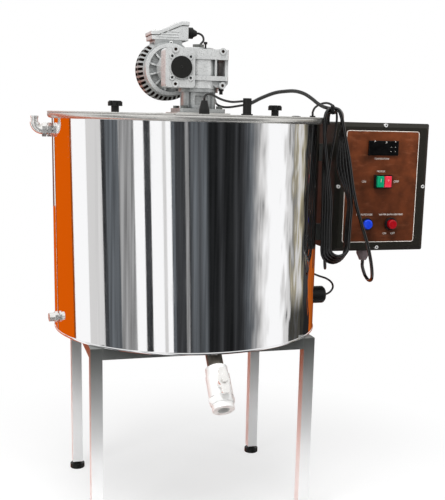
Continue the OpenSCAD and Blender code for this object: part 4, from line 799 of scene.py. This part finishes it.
# Glossy moulded plastics of the keys and the lamp, clouded a little inside
gloss = {}
for name, low, high in (
    ("green", "#00855a", "#14a878"), ("red", "#d31f37", "#f4475a"), ("crimson", "#7d0410", "#b20a18"),
    ("blue", "#0a2bd0", "#2b5cf4"),
):
    gloss[name], tree = material(name + "_moulded_plastic")
    cloud = grain(tree, 14)
    tint = add(tree, "ShaderNodeMixRGB", {"Fac": cloud, "Color1": colour(low), "Color2": colour(high)})
    rough = add(tree, "ShaderNodeMapRange", {"Value": cloud, **noise_span, "To Min": 0.16, "To Max": 0.26})
    shader = add(tree, "ShaderNodeBsdfPrincipled", {"Base Color": tint, "Roughness": rough})
    add(tree, "ShaderNodeOutputMaterial", {"Surface": shader})
piece(eased("start_button", 1.2, 3), "green_key_cap", gloss["green"], "start", ["start_button"])
piece(eased("stop_button", 1.2, 3), "red_key_cap", gloss["red"], "stop", ["stop_button"])
piece(eased("heat_button", 2.5, 4), "red_round_cap", gloss["crimson"], "heat", ["heat_button"])
piece(eased("pilot_lens", 3.0, 4), "blue_lamp_lens", gloss["blue"], covers=["pilot_lens"])
piece(eased("panel_fittings", 1.0, 3), "panel_bezels", moulded, covers=["panel_fittings"])

# Polished black ABS: the controller's case, deep black under a smeared gloss
glass, tree = material("polished_black_abs")
smear = grain(tree, 12)
tint = add(tree, "ShaderNodeMixRGB", {"Fac": smear, "Color1": colour("#050505"), "Color2": colour("#0d0d0e")})
rough = add(tree, "ShaderNodeMapRange", {"Value": smear, **noise_span, "To Min": 0.12, "To Max": 0.24})
shader = add(tree, "ShaderNodeBsdfPrincipled", {
    "Base Color": tint, "Roughness": rough, "Specular IOR Level": 0.35})
add(tree, "ShaderNodeOutputMaterial", {"Surface": shader})
case = eased("temperature_controller", 1.0, 3)
piece(case, "controller_case", glass, covers=["temperature_controller"])
sign_z, mark_up = 848, 3
key_signs = (("*", 428.5, 3.6), ("n", 457.5, 3), ("*", 480.9, 3))
marks = [legend(sign, x, sign_z, wide, controller_y) for sign, x, wide in key_signs]
marks += [legend(".", x, z, 1.3, controller_y) for x in (470.7, 481.1) for z in (839.3, 829.3)]
piece(joined(marks), "controller_marks", ink_white)
for body, sign, wide in (("start", "I", 1.1), ("stop", "O", 3.4)):
    corners = [v.co / MM for v in nodes[body + "_button"].data.vertices]
    low, high = (Vector(f(c[i] for c in corners) for i in range(3)) for f in (min, max))
    mark = legend(sign, (low.x + high.x) / 2, (low.z + high.z) / 2 + mark_up, wide, low.y)
    piece(mark, body + "_mark", ink_white, body)
dress(satin, "box_bracket")
dress(moulded, "lead_hook")

# Leads
# Flexible leads in black PVC: thin ones from the probe, the motor, the heater and the lid,
# and the thick main lead from the lead post, which hangs over the hook in loops and ends in the box's gland.
THIN = 5 * MM
THICK = 8 * MM

# Extruded PVC sheath: nearly black, with a wet gloss that a few scuffs break
pvc, tree = material("black_pvc_sheath")
scuff = grain(tree, 6)
tint = add(tree, "ShaderNodeMixRGB", {"Fac": scuff, "Color1": colour("#030303"), "Color2": colour("#0a0a09")})
rough = add(tree, "ShaderNodeMapRange", {"Value": scuff, **noise_span, "To Min": 0.07, "To Max": 0.15})
shader = add(tree, "ShaderNodeBsdfPrincipled", {
    "Base Color": tint, "Roughness": rough, "IOR": 1.7, "Specular IOR Level": 0.5})
add(tree, "ShaderNodeOutputMaterial", {"Surface": shader})


def curve_at(a, b, c, d, t):
    """Point on the smooth curve from b to c, with neighbours a and d."""
    return (
        b + (c - a) * t / 2 + (2 * a - 5 * b + 4 * c - d) * t * t / 2
        + (3 * b - a - 3 * c + d) * t * t * t / 2
    )


def smooth(points, steps=6):
    """Points of a smooth curve through a route, which runs straight into its two ends."""
    first, last = 2 * points[0] - points[1], 2 * points[-1] - points[-2]
    line = [first] + points + [last]
    made = []
    for i in range(1, len(points)):
        made += [curve_at(*line[i - 1 : i + 3], k / steps) for k in range(steps)]
    return made + [points[-1]]


def on_lid(route):
    """A route in millimetres, heights above the lid, in the frame's metres."""
    return [Vector((x * MM, y * MM, z * MM + lid_top * MM)) for x, y, z in route]


def lead(name, path, thick, covers):
    """One lead as a round curve in black PVC, fixed to the tank."""
    line = bpy.data.curves.new(name, "CURVE")
    line.dimensions = "3D"
    line.bevel_depth = thick / 2
    line.bevel_resolution = 4
    line.use_fill_caps = True
    spline = line.splines.new("POLY")
    spline.points.add(len(path) - 1)
    for point, place in zip(spline.points, path):
        point.co = (*place, 1.0)
    spline.use_smooth = True
    made = bpy.data.objects.new(name, line)
    scene.collection.objects.link(made)
    line.materials.append(pvc)
    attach(made, "tank")
    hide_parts(*covers)


probe_route = [
    (16, -90, 30), (16, -90, 36), (20, -89, 42), (29, -88, 44), (40, -86, 40), (52, -83, 35), (66, -80, 31),
    (82, -77, 29), (97, -73, 30), (106, -70, 31), (112, -70, 31),
]
motor_route = [
    (48, 120, 188), (54, 120, 188), (62, 119, 183), (64, 117, 173), (57, 115, 164), (51, 111, 154),
    (50, 104, 136), (56, 92, 108), (64, 77, 82), (70, 60, 58), (72, 42, 41), (71, 22, 30), (69, 5, 25),
    (71, -11, 21), (77, -27, 18), (87, -43, 18), (98, -54, 20), (107, -62, 22), (112, -66, 23),
]
main_route = [
    (126, -71, 27), (134, -72, 31), (151, -75, 40), (178, -81, 51), (200, -88, 55), (220, -97, 56),
    (238, -107, 51), (252, -118, 41), (264, -127, 30), (276, -134, 23), (289, -138, 20), (300, -138, 20),
]
tail_route = [
    (336, -175, -150), (342, -174.5, -172), (350.5, -169, -194), (364, -160, -222), (381, -150, -256),
    (398, -139, -292), (412, -127, -326), (423, -113, -355), (430, -97, -373), (432, -79, -379),
    (430, -63, -372), (428, -53, -359), (427, -48, -348), (427, -48, -341), (427, -48, -334),
]
heater_route = [
    (350, 0, -426), (356, 0, -426), (368, 3, -421), (377, 9, -411), (377, 19, -401), (368, 31, -393),
    (352, 45, -388), (335, 58, -380), (320, 73, -362), (311, 86, -335), (308, 92, -300), (312, 89, -262),
    (320, 76, -226), (327, 65, -206), (332, 62, -200), (338, 62, -200),
]
lid_route = [
    (278, -62, 4), (278, -62, 8), (278, -62, 12), (280, -70, 22), (286, -88, 30), (295, -108, 32),
    (305, -121, 24), (311, -125, 6), (311, -121, -30), (305, -114, -95), (301, -110, -180),
    (301, -108, -260), (304, -104, -315), (310, -94, -342), (318, -80, -345), (323, -64, -325),
    (325, -50, -280), (326, -40, -220), (326, -33, -165), (326, -31, -142), (327, -30, -129),
    (330, -30, -122), (335, -30, -120), (338, -30, -120),
]
lead("probe_lead_sheath", smooth(on_lid(probe_route)), THIN, ["probe_lead"])
lead("motor_lead_sheath", smooth(on_lid(motor_route)), THIN, ["motor_lead"])
lead("heater_lead_sheath", smooth(on_lid(heater_route)), THIN, ["heater_lead"])
lead("lid_lead_sheath", smooth(on_lid(lid_route)), THIN, ["lid_lead"])

# The spare length hangs over the hook in loops that step along it, each narrower than the one behind it
coil_y, coil_step, coil_rings, coil_turns = -138, (-4.3, -8.6), 64, 4
coil_top = [(300, 20, 0), (312, 16, 0), (320, 1, 0.3), (331, -45, 4), (345, -110, 8)]
coil_neck = [(281, -30), (282, 4), (289, 16.5)]
coil_left, coil_right, coil_waist, coil_shoulder, coil_low = 277, 354, 180, 100, 326
coil_lift, coil_draw, coil_pull = 6, 7, 3
coil_round = [(0.97, 2), (0.92, 0.7), (0.8, -0.55), (0, -1), (-0.8, -0.55), (-0.92, 0.7), (-0.97, 2)]


def turn_points(t):
    """Corners of the loop at a count of turns, across and above the lid."""
    left, ahead = coil_left + coil_draw * t, coil_turns - t
    over = coil_right - coil_pull * ahead
    half = (over - left) / 2
    mid, low = left + half, half - coil_low + coil_lift * t
    foot = [(mid + a * half, low + b * half) for a, b in coil_round]
    shoulder = [(left, -coil_waist), ((left + coil_left) / 2, -coil_shoulder)]
    crown = [(x - fan * ahead, z) for x, z, fan in coil_top]
    return crown + [(over, -coil_waist)] + foot + shoulder + coil_neck


corners = len(turn_points(0))
# After its last whole turn the lead leaves the loop at the fifth corner, on its way down
coil_end = coil_turns + 4 / corners
coil_count = round(coil_end * coil_rings)
coil = []
for k in range(coil_count + 1):
    t = coil_end * k / coil_count
    i = math.floor(t * corners)
    loop = turn_points(t)
    near = [Vector((loop[(i + j) % corners][0], 0, loop[(i + j) % corners][1])) for j in (-1, 0, 1, 2)]
    spot = curve_at(*near, t * corners - i)
    coil.append(Vector((spot.x + coil_step[0] * t, coil_y + coil_step[1] * t, spot.z)))
coil = on_lid(coil)
main_path = smooth(on_lid(main_route))[:-1] + coil + smooth([coil[-1]] + on_lid(tail_route))[1:]
lead("main_lead_sheath", main_path, THICK, ["main_lead", "lead_coil", "box_lead"])
